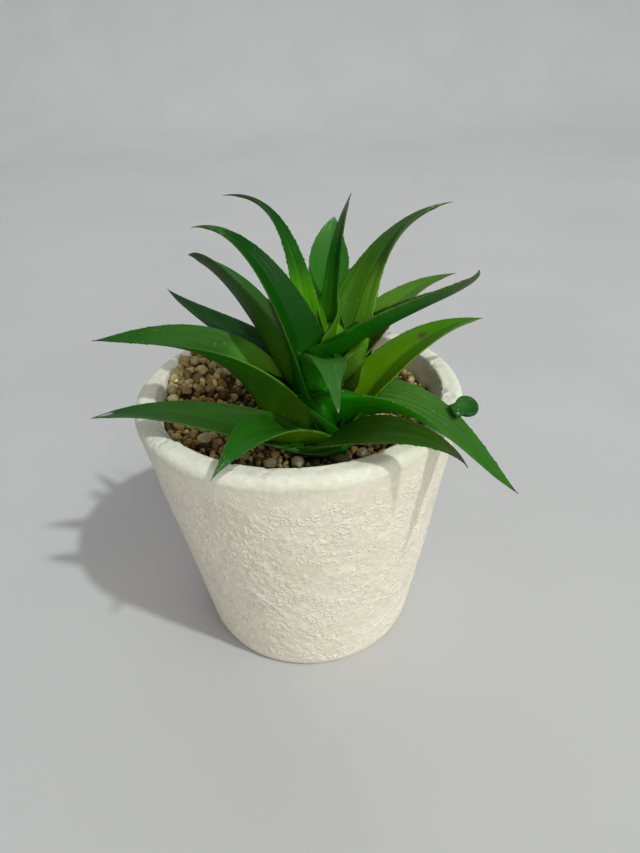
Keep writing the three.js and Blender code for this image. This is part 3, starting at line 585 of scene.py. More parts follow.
def leaf_material(name, look, seed):
    t = Tree(name)
    s, u, b = t.attribute("along"), t.attribute("across"), t.attribute("beneath")
    place = t.place()
    streak = t.noise(
        t.combine(t.math("MULTIPLY", u, 7.0), t.math("MULTIPLY", s, 2.2), seed * 3.7),
        1.0, 4.0, 0.6,
    )
    fine = t.noise(
        t.combine(t.math("MULTIPLY", u, 26.0), t.math("MULTIPLY", s, 3.0), seed * 1.9),
        1.0, 3.0, 0.6,
    )
    blot = t.noise(place, 95.0, 4.0, 0.6)
    shift = t.math("MULTIPLY_ADD", t.math("SUBTRACT", streak, 0.5), 0.16, s)
    top = t.ramp(shift, look["top"], "EASE")
    low = t.ramp(shift, look["under"], "EASE")
    colour = t.mix(t.span(b, 0.4, 0.6), top, low)
    if "side" in look:  # one half of the top face is painted lighter: painted light on the lit half of the fold
        sgn, col, amount = look["side"][:3]
        upto = look["side"][3] if len(look["side"]) > 3 else 0.98
        half = t.span(t.math("MULTIPLY", u, sgn), 0.02, 0.2, 0.0, amount)
        half = t.math("MULTIPLY", half, t.span(s, upto, upto - 0.2))
        half = t.math("MULTIPLY", half, t.span(s, 0.07, 0.15))
        colour = t.mix(half, colour, col)
    for sign, col, amount in look.get("glow", []):  # soft patches
        patch = t.math("MULTIPLY", t.span(blot, 0.46, 0.66), amount)
        colour = t.mix(patch, colour, col)
    if "sheath" in look:
        wrapped = t.span(t.attribute("sheath"), 0.15, 0.85)
        hem = look["sheath"]
        if "sheath_right" in look:
            hem = t.mix(t.span(u, 0.10, -0.25), hem, look["sheath_right"])
        if "sheath_under" in look:
            hem = t.mix(t.span(b, 0.4, 0.6), hem, look["sheath_under"])
        # below the seat the sheath turns dark where it closes on the stem: painted shade
        hem = t.mix(t.span(s, -0.015, -0.06), hem, (0.010, 0.060, 0.001))
        colour = t.mix(wrapped, colour, hem)
    light = t.span(streak, 0.25, 0.75, 1 - look.get("streak", 0.12), 1 + look.get("streak", 0.12), "LINEAR")
    lines = t.span(fine, 0.34, 0.5, 1 - look.get("lines", 0.08), 1.0)
    light = t.math("MULTIPLY", light, lines)
    light = t.math("MULTIPLY", light, t.span(blot, 0.3, 0.7, 0.88, 1.12, "LINEAR"))
    colour = t.mix(1.0, colour, t.combine(light, light, light), "MULTIPLY")
    # pale, slightly yellow thin edge
    au = t.math("ABSOLUTE", u)
    edge = t.math("MULTIPLY", t.span(au, 0.965, 1.0), look.get("edge_amount", 0.45) * 0.5)
    edge = t.math("MULTIPLY", edge, t.span(s, 0.10, 0.30))
    colour = t.mix(edge, colour, look.get("edge", srgb(120, 160, 70)))
    scuff = t.noise(
        t.combine(t.math("MULTIPLY", u, 5.0), t.math("MULTIPLY", s, 26.0), seed * 5.1),
        1.0, 5.0, 0.7,
    )
    for s0, s1, amount, col in look.get("scuffs", []):
        band = t.math("MULTIPLY", t.span(s, s0 - 0.02, s0 + 0.02), t.span(s, s1 + 0.02, s1 - 0.02))
        m = t.math("MULTIPLY", band, t.span(scuff, 0.62 - 0.24 * amount, 0.70 - 0.2 * amount))
        colour = t.mix(t.math("MULTIPLY", m, min(1.0, amount + 0.3)), colour, col)
    for s0, u0, rs, ru, col, amount in look.get("spots", []):
        d = t.math(
            "SQRT",
            t.math(
                "ADD",
                t.math("POWER", t.math("DIVIDE", t.math("ABSOLUTE", t.math("SUBTRACT", s, s0)), rs), 2.0),
                t.math("POWER", t.math("DIVIDE", t.math("ABSOLUTE", t.math("SUBTRACT", u, u0)), ru), 2.0),
            ),
        )
        m = t.math("MULTIPLY", t.span(t.math("ADD", d, t.math("MULTIPLY", t.math("SUBTRACT", scuff, 0.5), 0.5)), 1.05, 0.55), amount)
        colour = t.mix(m, colour, col)
    wander = t.noise(t.combine(t.math("MULTIPLY", s, 5.0), seed * 2.3, 0.4), 1.0, 2.0)
    for u0, slope, s0, s1, width, col, amount in look.get("marks", []):  # single veins, and on one leaf a pale painted highlight along the fold
        path = t.math("MULTIPLY_ADD", t.math("SUBTRACT", s, s0), slope, u0)
        path = t.math("MULTIPLY_ADD", t.math("SUBTRACT", wander, 0.5), 0.30, path)
        off = t.math("ABSOLUTE", t.math("SUBTRACT", u, path))
        m = t.math("MULTIPLY", t.span(off, width, 0.15 * width), t.span(s, s0, s0 + 0.1))
        m = t.math("MULTIPLY", m, t.span(s, s1, s1 - 0.15))
        m = t.math("MULTIPLY", m, t.span(scuff, 0.36, 0.56, 0.25, amount))
        colour = t.mix(t.math("MULTIPLY", m, t.span(b, 0.6, 0.4)), colour, col)
    fleck = t.noise(place, 1150.0, 3.0, 0.7)
    dust = t.span(fleck, 0.69, 0.73, 0.0, look.get("dust", 0.25))
    colour = t.mix(dust, colour, (0.34, 0.42, 0.30))
    tip = t.span(s, 1 - look.get("tip_len", 0.05), 1 - 0.35 * look.get("tip_len", 0.05))
    colour = t.mix(t.math("MULTIPLY", tip, look.get("tip_amount", 0.9)), colour, look.get("tip", srgb(52, 50, 42)))
    rough = t.span(blot, 0.3, 0.7, look.get("rough", 0.42) - 0.06, look.get("rough", 0.42) + 0.08, "LINEAR")
    n1 = t.bump(streak, 0.25, 0.0002)
    n2 = t.bump(fine, 0.22, 0.0001, n1)
    n3 = t.bump(t.noise(place, 1500.0, 2.0), 0.06, 0.0001, n2)
    return t.finish(
        colour, rough, n3,
        Specular_IOR_Level=look.get("spec", 0.11),
        Sheen_Weight=0.0,
    )


# ------------------------------------------------------------------ pot
def wrinkles(p):
    """Height of the cast wrinkles in mm at points p in mm: worm-like raised lines in
    patches over a slightly lumpy wall."""
    warp = np.stack(
        [perlin(p / 7.0, 41), perlin(p / 7.0 + 9.1, 43), perlin(p / 7.0 + 4.7, 47)], 1
    )
    q = p + warp * 2.6
    a = np.abs(perlin(q / np.array([2.6, 2.6, 1.9]), 51))
    b = np.abs(perlin(q / np.array([1.7, 1.7, 1.4]) + 3.3, 53))
    big = 1 - smooth(0.0, 0.30, a)
    small = 1 - smooth(0.0, 0.26, b)
    patch = smooth(-0.22, 0.30, perlin(p / 15.0 + 2.2, 57) + 0.5 * perlin(p / 6.0, 59))
    patch2 = smooth(-0.1, 0.35, perlin(p / 9.0 + 8.2, 61))
    return 0.20 * big * patch + 0.17 * small * patch2 * (0.35 + 0.65 * patch)


def build_pot():
    cols = 600
    th = np.arange(cols) / cols * TAU
    prof = []  # r, z, kind: 0 outer wall, 1 rim, 2 inside, 3 foot and underside

    def add(r, z, kind):
        prof.append((r, z, kind))

    for r in (4.0, 14.0, 22.0, 26.5):
        add(r, 0.0, 3)
    for k in range(6):  # rounded foot
        a = math.pi / 2 * k / 5
        add(BASE_RADIUS - 1.2 + 1.2 * math.sin(a), 1.2 - 1.2 * math.cos(a), 3)
    top = POT_HEIGHT - RIM_ROUND
    rows = 126
    for z in np.linspace(1.2, top, rows)[1:]:
        add(BASE_RADIUS + SLOPE * z, z, 0)
    for k in range(1, 9):
        a = math.pi / 2 * k / 8
        add(
            RIM_RADIUS - RIM_ROUND + RIM_ROUND * math.cos(a),
            top + RIM_ROUND * math.sin(a),
            1,
        )
    for r in np.linspace(RIM_RADIUS - RIM_ROUND, RIM_RADIUS - WALL + 0.8, 8)[1:]:
        add(r, POT_HEIGHT, 1)
    for k in range(1, 5):
        a = math.pi / 2 * k / 4
        add(
            RIM_RADIUS - WALL + 0.8 - 0.8 * math.sin(a),
            POT_HEIGHT - 0.8 + 0.8 * math.cos(a),
            1,
        )
    for z in (69.4, 68.6, 67.6, 66.4, 65.0, 63.0, 60.5, 57.0, 50.0, 35.0, 20.0, FLOOR + 0.5):
        add(inner_radius(z), z, 2)
    for r in (inner_radius(FLOOR) - 0.6, 20.0, 10.0, 3.0):
        add(r, FLOOR, 2)
    prof = np.array(prof)
    m = len(prof)
    r, z = prof[:, 0], prof[:, 1]
    kind = prof[:, 2]
    X = r[:, None] * np.cos(th)[None]
    Y = r[:, None] * np.sin(th)[None]
    Z = np.repeat(z[:, None], cols, 1)
    P = np.stack([X, Y, Z], -1)
    t = np.gradient(prof[:, :2], axis=0)  # outward normal of the profile
    nr, nz = t[:, 1], -t[:, 0]
    ln = np.hypot(nr, nz)
    nr, nz = nr / ln, nz / ln
    Nn = np.stack(
        [
            nr[:, None] * np.cos(th),
            nr[:, None] * np.sin(th),
            np.repeat(nz[:, None], cols, 1),
        ],
        -1,
    )
    flat = P.reshape(-1, 3)
    h = wrinkles(flat).reshape(m, cols)
    lump = fbm(flat / 11.0, 2, 71).reshape(m, cols) * 0.22
    fine = fbm(flat / 1.3, 2, 73).reshape(m, cols)
    K = np.repeat(kind[:, None], cols, 1)
    below_rim = smooth(POT_HEIGHT - 3.0, POT_HEIGHT - 11.0, Z)
    foot = smooth(1.0, 4.0, Z)
    wall = (K == 0) * (0.12 + 0.88 * below_rim) * (0.45 + 0.55 * foot)
    disp = wall * h + (K == 0) * (lump + 0.045 * fine)
    # rim: small pits, a worn outer edge and a chipped inner edge
    pit = smooth(0.36, 0.62, perlin(flat / 1.1, 77).reshape(m, cols)) * smooth(
        0.0, 0.3, perlin(flat / 5.0, 79).reshape(m, cols)
    )
    wear = smooth(0.1, 0.6, perlin(flat / 2.4, 81).reshape(m, cols))
    edge_in = np.exp(-(((r - (RIM_RADIUS - WALL + 0.4)) / 0.8) ** 2))[:, None] * (K == 1)
    edge_out = np.exp(-(((r - (RIM_RADIUS - 0.8)) / 1.2) ** 2))[:, None] * (K == 1)
    disp = disp + (K == 1) * (
        lump * 0.20 + 0.025 * fine - 0.34 * pit - 0.45 * wear * edge_in - 0.16 * wear * edge_out
    )
    disp = disp + (K == 2) * (Z > 56) * (lump * 0.6 + 0.08 * fine)
    P = P + Nn * disp[..., None]
    P[..., 2] = np.maximum(P[..., 2], 0.0)
    P[..., 2] = np.minimum(P[..., 2], POT_HEIGHT + 0.15)
    verts = P.reshape(-1, 3)
    quads = ring_quads(m, cols)
    verts = np.vstack([verts, [0, 0, 0], [0, 0, FLOOR]])
    j = np.arange(cols)
    k = (j + 1) % cols
    tris = np.vstack(
        [
            np.stack([k, j, np.full(cols, len(verts) - 2)], 1),
            np.stack([(m - 1) * cols + j, (m - 1) * cols + k, np.full(cols, len(verts) - 1)], 1),
        ]
    )
    # 1 everywhere off the raised wrinkles; the material paints these lows a little darker as painted shade
    groove_shade = np.concatenate([(1 - smooth(0.0, 0.16, h) * wall).ravel(), [0, 0]])
    # pits, chips and worn rim edges, which the material paints darker
    pits = np.concatenate([np.clip((K == 1) * (pit + 0.6 * wear * (edge_in + 0.5 * edge_out)), 0, 1).ravel(), [0, 0]])
    rough_at = np.concatenate([wall.ravel(), [0, 0]])
    o = make_mesh("cement_pot", verts, quads, tris, {"groove_shade": groove_shade, "pits": pits, "wall": rough_at})
    return o


def pot_material():
    t = Tree("cast_cement")
    place = t.place()
    groove_shade, pits = t.attribute("groove_shade"), t.attribute("pits")
    cloud = t.noise(place, 55.0, 4.0, 0.6)
    grain = t.noise(place, 700.0, 4.0, 0.7)
    speck = t.voronoi(place, 620.0)
    colour = t.ramp(
        cloud,
        [
            (0.30, (0.795, 0.738, 0.600)),
            (0.50, (0.840, 0.790, 0.668)),
            (0.72, (0.872, 0.838, 0.735)),
        ],
    )
    stain = t.span(t.noise(place, 120.0, 5.0, 0.65), 0.50, 0.68, 0.0, 0.35)
    colour = t.mix(stain, colour, (0.62, 0.56, 0.42))
    colour = t.mix(t.span(grain, 0.62, 0.44, 0.0, 0.28), colour, (0.56, 0.52, 0.42))
    colour = t.mix(t.span(speck, 0.10, 0.02, 0.0, 0.45), colour, (0.42, 0.36, 0.26))
    top_zone = t.span(t.math("MULTIPLY", t.height(place), 1000.0), POT_HEIGHT - 5.5, POT_HEIGHT - 2.0)
    colour = t.mix(top_zone, colour, t.mix(1.0, colour, (0.92, 0.975, 0.985), "MULTIPLY"))
    # everywhere off the raised wrinkles is painted a little darker so the ridges stand out: painted shade in the lows
    colour = t.mix(t.math("MULTIPLY", groove_shade, 0.10), colour, (0.60, 0.54, 0.42))
    # pits, chips and worn rim edges painted darker: painted shade in these small hollows
    colour = t.mix(t.math("MULTIPLY", pits, 0.45), colour, (0.52, 0.47, 0.36))
    warp = t.node("ShaderNodeVectorMath", operation="ADD")
    t.link(place, warp.inputs[0])
    wn = t.noise(place, 140.0, 2.0, 0.5, out=1)
    sc = t.node("ShaderNodeVectorMath", operation="SCALE")
    t.link(wn, sc.inputs[0])
    sc.inputs["Scale"].default_value = 0.004
    t.link(sc.outputs[0], warp.inputs[1])
    worm = t.noise(warp.outputs[0], 720.0, 1.5, 0.5)
    ridge = t.span(t.math("ABSOLUTE", t.math("SUBTRACT", worm, 0.5)), 0.0, 0.10, 1.0, 0.0)
    breaks = t.span(t.noise(place, 330.0, 2.0, 0.5), 0.40, 0.54)
    patch = t.span(t.noise(place, 110.0, 3.0, 0.6), 0.34, 0.56, 0.25, 1.0)
    ridge = t.math("MULTIPLY", t.math("MULTIPLY", ridge, breaks), t.math("MULTIPLY", patch, t.attribute("wall")))
    # the raised wrinkle ridges are painted paler: painted highlight on their crests
    colour = t.mix(t.math("MULTIPLY", ridge, 0.50), colour, (0.93, 0.90, 0.80))
    n1 = t.bump(ridge, 0.62, 0.00032)
    n2 = t.bump(grain, 0.35, 0.00018, n1)
    n3 = t.bump(t.noise(place, 2600.0, 2.0), 0.25, 0.0001, n2)
    rough = t.span(cloud, 0.3, 0.7, 0.82, 0.95, "LINEAR")
    return t.finish(colour, rough, n3, Specular_IOR_Level=0.25)


# ------------------------------------------------------------------ gravel
def icosphere(level):
    import bmesh

    bm = bmesh.new()
    bmesh.ops.create_icosphere(bm, subdivisions=level, radius=1.0)
    bm.verts.ensure_lookup_table()
    v = np.array([q.co for q in bm.verts])
    f = np.array([[q.index for q in face.verts] for face in bm.faces])
    bm.free()
    return v, f


def turn_matrix(rng):
    q = rng.normal(size=4)
    q /= np.linalg.norm(q)
    w, x, y, z = q
    return np.array(
        [
            [1 - 2 * (y * y + z * z), 2 * (x * y - z * w), 2 * (x * z + y * w)],
            [2 * (x * y + z * w), 1 - 2 * (x * x + z * z), 2 * (y * z - x * w)],
            [2 * (x * z - y * w), 2 * (y * z + x * w), 1 - 2 * (x * x + y * y)],
        ]
    )


def build_bed():
    """The glued lower layer: a lumpy crust from the stem hole to the wall."""
    cols, rows = 240, 56
    th = np.arange(cols) / cols * TAU
    hole = np.stack([STEM_X + BED_HOLE * np.cos(th), STEM_Y + BED_HOLE * np.sin(th)], 1)
    a = np.cos(th) * STEM_X + np.sin(th) * STEM_Y
    R = inner_radius(BED_LEVEL) - 0.5
    reach = -a + np.sqrt(a * a - (STEM_X**2 + STEM_Y**2) + R * R)
    rings, kind = [], []
    for t in np.linspace(0, 1, rows) ** 0.9:
        d = BED_HOLE + (reach - BED_HOLE) * t
        x, y = STEM_X + d * np.cos(th), STEM_Y + d * np.sin(th)
        p = np.stack([x, y, 0 * x], 1)
        z = bed_height(x, y) - 0.55
        z = z + 0.45 * perlin(p / 1.5, 91) + 0.25 * perlin(p / 0.8, 93)
        rings.append(np.stack([x, y, z], 1))
        kind.append(1.0)
    for z in (62.0, 60.0, BED_BOTTOM):
        s = (inner_radius(z) - 0.5) / R
        last = rings[rows - 1]
        rings.append(np.stack([last[:, 0] * s, last[:, 1] * s, np.full(cols, z)], 1))
        kind.append(0.0)
    rings.append(np.stack([hole[:, 0], hole[:, 1], np.full(cols, BED_BOTTOM)], 1))
    V = np.array(rings)
    m = len(V)
    i = np.arange(m)[:, None] * cols
    i2 = (np.arange(m)[:, None] + 1) % m * cols
    j = np.arange(cols)[None]
    k = (j + 1) % cols
    quads = np.stack([i + j, i2 + j, i2 + k, i + k], -1).reshape(-1, 4)
    return make_mesh("gravel_crust", V.reshape(-1, 3), quads)


def build_grains(avoid):
    """Rounded, irregular, glued grains over the whole bed."""
    rng = np.random.default_rng(11)
    v0, f0 = icosphere(2)
    R = inner_radius(BED_LEVEL)
    cell = 4.0
    grid, placed = {}, []
    stones = [(x, y, 0.85 * a) for x, y, a, h, t in PEBBLES]
    for n in range(26000):
        r = R * math.sqrt(rng.random())
        th = rng.random() * TAU
        x, y = r * math.cos(th), r * math.sin(th)
        size = 0.86 + 0.95 * rng.random() ** 1.6  # mean radius
        if n < 1500:
            size *= 1.18
        if r + size * 0.9 > R:
            continue
        if math.hypot(x - STEM_X, y - STEM_Y) < BED_HOLE + size * 0.7:
            continue
        if any(math.hypot(x - a, y - b) < c + size * 0.7 for a, b, c in stones):
            continue
        i, j = int(math.floor(x / cell)), int(math.floor(y / cell))
        ok = True
        for di in (-1, 0, 1):
            for dj in (-1, 0, 1):
                for (a, b, s) in grid.get((i + di, j + dj), ()):
                    if (x - a) ** 2 + (y - b) ** 2 < (0.80 * (s + size)) ** 2:
                        ok = False
                        break
                if not ok:
                    break
            if not ok:
                break
        if ok:
            grid.setdefault((i, j), []).append((x, y, size))
            placed.append((x, y, size, 0.0))
    # a sparse second layer lying in the gaps of the first
    for n in range(2600):
        r = (R - 1.6) * math.sqrt(rng.random())
        th = rng.random() * TAU
        x, y = r * math.cos(th), r * math.sin(th)
        if math.hypot(x - STEM_X, y - STEM_Y) < BED_HOLE + 2.5:
            continue
        if any(math.hypot(x - a, y - b) < c + 1.4 for a, b, c in stones):
            continue
        if rng.random() < 0.12:
            placed.append((x, y, 0.7 + 0.6 * rng.random(), 1.0))
    # coarser stones heaped against the wall at the back left
    heap = []
    for n in range(4000):
        r = 18.5 + (R + 0.8 - 18.5) * math.sqrt(rng.random())
        deg = 122 + 56 * rng.random()
        size = 1.15 + 0.85 * rng.random()
        x, y = r * math.cos(math.radians(deg)), r * math.sin(math.radians(deg))
        lift = 2.1 * smooth(25, 11, abs(deg - 151)) * smooth(19, 27, r)
        z = float(bed_height(np.array(x), np.array(y))) + 0.25 + lift * rng.random()
        if lift < 0.35 or r + 0.8 * size > inner_radius(z) + 0.5 * max(0.0, z - 69.5):
            continue
        if any(math.hypot(x - a, y - b) < c + 0.45 * size for a, b, c in stones):
            continue
        if any(
            (x - a) ** 2 + (y - b) ** 2 + (z - d) ** 2 < (0.74 * (size + s)) ** 2
            for a, b, s, d in heap
        ):
            continue
        heap.append((x, y, size, z))
    placed += [(a, b, s, d) for a, b, s, d in heap]
    V, F, tone, rnd = [], [], [], []
    for x, y, size, layer in placed:
        z = float(bed_height(np.array(x), np.array(y))) + (
            0.10 * size + 0.35 * rng.random() if not layer else 1.0 + 0.3 * rng.random()
        )
        if layer > 2:
            z = layer
        scale = np.array([1.12, 0.74 + 0.30 * rng.random(), 0.62 + 0.34 * rng.random()])
        M = turn_matrix(rng)
        q = v0 * 0.8 + rng.random(3) * 90
        lump = 1 + 0.42 * perlin(q, 7) + 0.16 * perlin(q * 2.4, 8)
        p = v0 * lump[:, None]
        for c in range(8):  # broken flat sides
            nrm = rng.normal(size=3)
            nrm /= np.linalg.norm(nrm)
            d = p @ nrm
            cut = 0.48 + 0.34 * rng.random()
            p = p - np.maximum(d - cut, 0)[:, None] * nrm * 0.97
        p = (p * scale) @ M.T * size
        c = np.array([x, y, z])
        if avoid is not None:
            near = avoid.find(Vector(c))
            if near[2] is not None and near[2] < size * 0.95 + 0.25:
                c[2] -= size * 0.95 + 0.25 - near[2]
                if c[2] < float(bed_height(np.array(x), np.array(y))) - 1.2:
                    continue
        F.append(f0 + len(V) * len(v0))
        V.append(p + c)
        value = rng.random()
        pale = smooth(20, 31, math.hypot(x, y)) * smooth(-4, -14, x) * smooth(-14, -4, y)
        if rng.random() < 0.55 * pale:
            value = 0.80 + 0.15 * rng.random()
        tone.append(np.full(len(v0), value))
        if layer > 2:
            value = 0.62 + 0.32 * rng.random() if rng.random() < 0.84 else 0.44 + 0.10 * rng.random()
        # grains at the front, under the leaves, are made darker: painted shadow of the leaves
        front = 0.62 * smooth(-14, -22, y) * smooth(24, 12, abs(x - 4))
        depth = (0.25 + 0.75 * rng.random()) * (1 - front)
        if layer > 2:
            depth = 0.16 + 0.40 * rng.random()
        rnd.append(np.full(len(v0), depth))
    count = len(V)
    pieces = []
    per = (count + 2) // 3
    for k in range(3):
        a, b = k * per, min(count, (k + 1) * per)
        verts = np.concatenate(V[a:b])
        tris = np.concatenate(F[a:b]) - a * len(v0)
        pieces.append(
            make_mesh(
                "gravel_grains_%d" % (k + 1), verts, [], tris,
                {"tone": np.concatenate(tone[a:b]), "shade": np.concatenate(rnd[a:b])},
            )
        )
    print("grains", count)
    return pieces


def build_pebble(n, x, y, a, h, turn):
    rng = np.random.default_rng(100 + n)
    v0, f0 = icosphere(5)
    q = v0 * 0.9 + rng.random(3) * 50
    p = v0 * (1 + 0.16 * fbm(q, 3, 31)[:, None])
    for c in range(6):
        nrm = rng.normal(size=3)
        nrm /= np.linalg.norm(nrm)
        d = p @ nrm
        p = p - np.maximum(d - (0.70 + 0.2 * rng.random()), 0)[:, None] * nrm * 0.9
    p = p * (1 + 0.015 * perlin(v0 * 9 + 3, 33)[:, None])
    p = p * np.array([a, 0.8 * a, h])
    c, s = math.cos(math.radians(turn)), math.sin(math.radians(turn))
    p = p @ np.array([[c, s, 0], [-s, c, 0], [0, 0, 1]])
    z = float(bed_height(np.array(x), np.array(y))) + 0.8 + 0.75 * h
    p = p + np.array([x, y, z])
    return make_mesh("stone_%d" % n, p, [], f0)


def grain_material():
    t = Tree("glued_gravel")
    place = t.place()
    tone, shade = t.attribute("tone"), t.attribute("shade")
    colour = t.ramp(
        tone,
        [
            (0.00, (0.050, 0.027, 0.006)),
            (0.12, (0.160, 0.077, 0.013)),
            (0.26, (0.380, 0.216, 0.043)),
            (0.40, (0.520, 0.360, 0.104)),
            (0.52, (0.350, 0.180, 0.050)),
            (0.64, (0.560, 0.414, 0.145)),
            (0.78, (0.660, 0.531, 0.220)),
            (0.92, (0.740, 0.630, 0.302)),
            (1.00, (0.300, 0.225, 0.075)),
        ],
    )
    blot = t.noise(place, 900.0, 4.0, 0.65)
    colour = t.mix(t.span(blot, 0.46, 0.70, 0.0, 0.42), colour, (0.22, 0.115, 0.034))
    colour = t.mix(t.span(blot, 0.46, 0.30, 0.0, 0.50), colour, (0.52, 0.43, 0.22))
    light = t.span(shade, 0.0, 1.0, 0.40, 1.14, "LINEAR")
    colour = t.mix(1.0, colour, t.combine(light, light, light), "MULTIPLY")
    n1 = t.bump(blot, 0.35, 0.00018)
    n2 = t.bump(t.noise(place, 3200.0, 2.0), 0.25, 0.00008, n1)
    rough = t.span(blot, 0.3, 0.7, 0.30, 0.55, "LINEAR")
    return t.finish(colour, rough, n2, Specular_IOR_Level=0.32)


def crust_material():
    t = Tree("gravel_glue")
    place = t.place()
    a = t.noise(place, 420.0, 4.0, 0.65)
    b = t.voronoi(place, 640.0)
    colour = t.ramp(a, [(0.3, (0.050, 0.028, 0.010)), (0.52, (0.11, 0.065, 0.025)), (0.75, (0.20, 0.14, 0.065))])
    colour = t.mix(t.span(b, 0.25, 0.6, 0.0, 0.6), colour, (0.030, 0.018, 0.007))
    n1 = t.bump(b, 0.5, 0.0004)
    n2 = t.bump(a, 0.4, 0.0003, n1)
    return t.finish(colour, t.span(a, 0.3, 0.7, 0.6, 0.85, "LINEAR"), n2, Specular_IOR_Level=0.15)


def pebble_material(name, light, dark, mark, seed):
    t = Tree(name)
    place = t.place()
    off = t.node("ShaderNodeVectorMath", operation="ADD")
    t.link(place, off.inputs[0])
    off.inputs[1].default_value = (seed * 0.013, seed * 0.007, seed * 0.011)
    p = off.outputs[0]
    a = t.noise(p, 420.0, 4.0, 0.65)
    b = t.noise(p, 1100.0, 3.0, 0.6)
    colour = t.ramp(a, [(0.32, dark), (0.5, light), (0.7, tuple(min(1, c * 1.12) for c in light))])
    colour = t.mix(t.span(b, 0.56, 0.70, 0.0, 0.7), colour, mark)
    n1 = t.bump(a, 0.35, 0.0003)
    n2 = t.bump(b, 0.35, 0.00015, n1)
    return t.finish(colour, t.span(b, 0.3, 0.7, 0.38, 0.62, "LINEAR"), n2, Specular_IOR_Level=0.45)


# ------------------------------------------------------------------ stem, tab, plug
def build_stem():
    cols, rows = 56, 210
    # the hub of the upper leaves closes over the post
    hub = STEM_TOP + 3.0
    z = np.concatenate([np.linspace(STEM_FOOT, 86.0, rows - 40, endpoint=False), np.linspace(86.0, hub, 40)])
    radius = np.interp(
        z,
        [44, 64, 72, 78, 83, 86, 88, 89.0, 89.6, hub],
        [3.0, 3.0, 3.0, 3.2, 3.4, 3.5, 3.2, 2.6, 1.8, 0.4],
    )
    th = np.arange(cols) / cols * TAU
    A = np.stack([stem_axis(q) for q in z])
    A = A + smooth(78, 86, z)[:, None] * np.array([1.9, 0.5, 0.0])
    Z = np.repeat(z[:, None], cols, 1)
    T = np.repeat(th[None], rows, 0)
    # raised, slightly spiral leaf scars above the gravel
    phase = (Z - 60.0) / 2.6 + T / TAU * 0.5
    scar = np.exp(-((((phase % 1.0) - 0.5) / 0.14) ** 2)) * smooth(60, 62, Z) * smooth(80, 76, Z)
    q = np.stack([np.cos(T) * 2.5, np.sin(T) * 2.5, Z / 1.6], -1).reshape(-1, 3)
    rough = fbm(q, 2, 15).reshape(rows, cols)
    R = radius[:, None] - 0.14 + 0.20 * scar + 0.06 * rough
    X = A[:, 0:1] + R * np.cos(T)
    Y = A[:, 1:2] + R * np.sin(T)
    V = np.stack([X, Y, Z], -1).reshape(-1, 3)
    V = np.vstack([V, A[0], A[-1] + np.array([0, 0, 0.15])])
    quads = ring_quads(rows, cols)
    j = np.arange(cols)
    k = (j + 1) % cols
    tris = np.vstack(
        [
            np.stack([k, j, np.full(cols, len(V) - 2)], 1),
            np.stack([(rows - 1) * cols + j, (rows - 1) * cols + k, np.full(cols, len(V) - 1)], 1),
        ]
    )
    scars = np.concatenate([scar.ravel(), [0, 0]])
    crown = np.concatenate([smooth(86.6, 88.6, Z).ravel(), [0, 1]])
    return make_mesh("stem_post", V, quads, tris, {"scar": scars, "crown": crown})


def stem_material():
    t = Tree("stem_moulded")
    place = t.place()
    scar = t.attribute("scar")
    a = t.noise(place, 180.0, 4.0, 0.6)
    colour = t.ramp(a, [(0.3, (0.02, 0.085, 0.006)), (0.55, (0.035, 0.125, 0.008)), (0.75, (0.075, 0.16, 0.015))])
    colour = t.mix(t.math("MULTIPLY", scar, 0.5), colour, (0.10, 0.17, 0.03))
    lime = t.ramp(a, [(0.3, (0.055, 0.20, 0.002)), (0.7, (0.080, 0.25, 0.003))])
    colour = t.mix(t.attribute("crown"), colour, lime)
    n1 = t.bump(a, 0.3, 0.0003)
    n2 = t.bump(t.noise(place, 1400.0, 2.0), 0.2, 0.0001, n1)
    return t.finish(colour, t.span(a, 0.3, 0.7, 0.45, 0.60, "LINEAR"), n2, Specular_IOR_Level=0.16)


def build_tab():
    """The round runner tab left on the long right leaf, with its short neck."""
    c = np.array(TAB_CENTRE)
    root = np.array(TAB_ROOT)
    nrm = np.array(TAB_NORMAL)
    nrm = nrm / np.linalg.norm(nrm)
    d = root - c
    d = d - nrm * d.dot(nrm)
    e1 = d / np.linalg.norm(d)
    e2 = np.cross(nrm, e1)
    cols = 120
    th = np.arange(cols) / cols * TAU
    turn = np.angle(np.exp(1j * th))
    reach = np.linalg.norm(root - c) + 0.6
    # the outline of a disc with a straight-sided neck towards the leaf
    bar = np.minimum(reach / np.maximum(np.cos(turn), 0.05), TAB_NECK / 2 / np.maximum(np.abs(np.sin(turn)), 1e-3))
    neck = smooth(0.9, 0.2, np.abs(turn))
    far = np.where(np.abs(turn) < 1.2, np.maximum(1.0, bar / TAB_RADIUS), 1.0)
    wob = 1 + 0.012 * np.sin(th * 3 + 1) + 0.008 * np.sin(th * 7)
    h = TAB_THICKNESS / 2
    prof = [(0.25, 1.0), (0.5, 1.0), (0.70, 1.0), (0.84, 1.0), (0.92, 0.97), (0.965, 0.86), (0.99, 0.62), (1.0, 0.3),
            (1.0, 0.0), (1.0, -0.3), (0.99, -0.62), (0.965, -0.86), (0.92, -0.97), (0.80, -1.0), (0.5, -1.0), (0.25, -1.0)]
    rings = []
    for f, q in prof:
        rad = TAB_RADIUS * f * (1 + (far * wob - 1) * f**3)
        low = 1 - 0.25 * neck * f
        dish = -0.10 * (1 - smooth(0.55, 0.85, f)) if q > 0 else 0.0
        pts = (
            c
            + rad[:, None] * (np.cos(th)[:, None] * e1 + np.sin(th)[:, None] * e2)
            + ((h * q + dish) * low)[:, None] * nrm
            + (0.02 * np.sin(th * 5 + f * 9))[:, None] * nrm
        )
        rings.append(pts)
    V = np.array(rings).reshape(-1, 3)
    m = len(prof)
    V = np.vstack([V, c + nrm * (h - 0.10), c - nrm * h])
    quads = ring_quads(m, cols)[:, ::-1]
    j = np.arange(cols)
    k = (j + 1) % cols
    tris = np.vstack(
        [
            np.stack([j, k, np.full(cols, len(V) - 2)], 1),
            np.stack([(m - 1) * cols + k, (m - 1) * cols + j, np.full(cols, len(V) - 1)], 1),
        ]
    )
    return make_mesh("mould_tab", V, quads, tris)


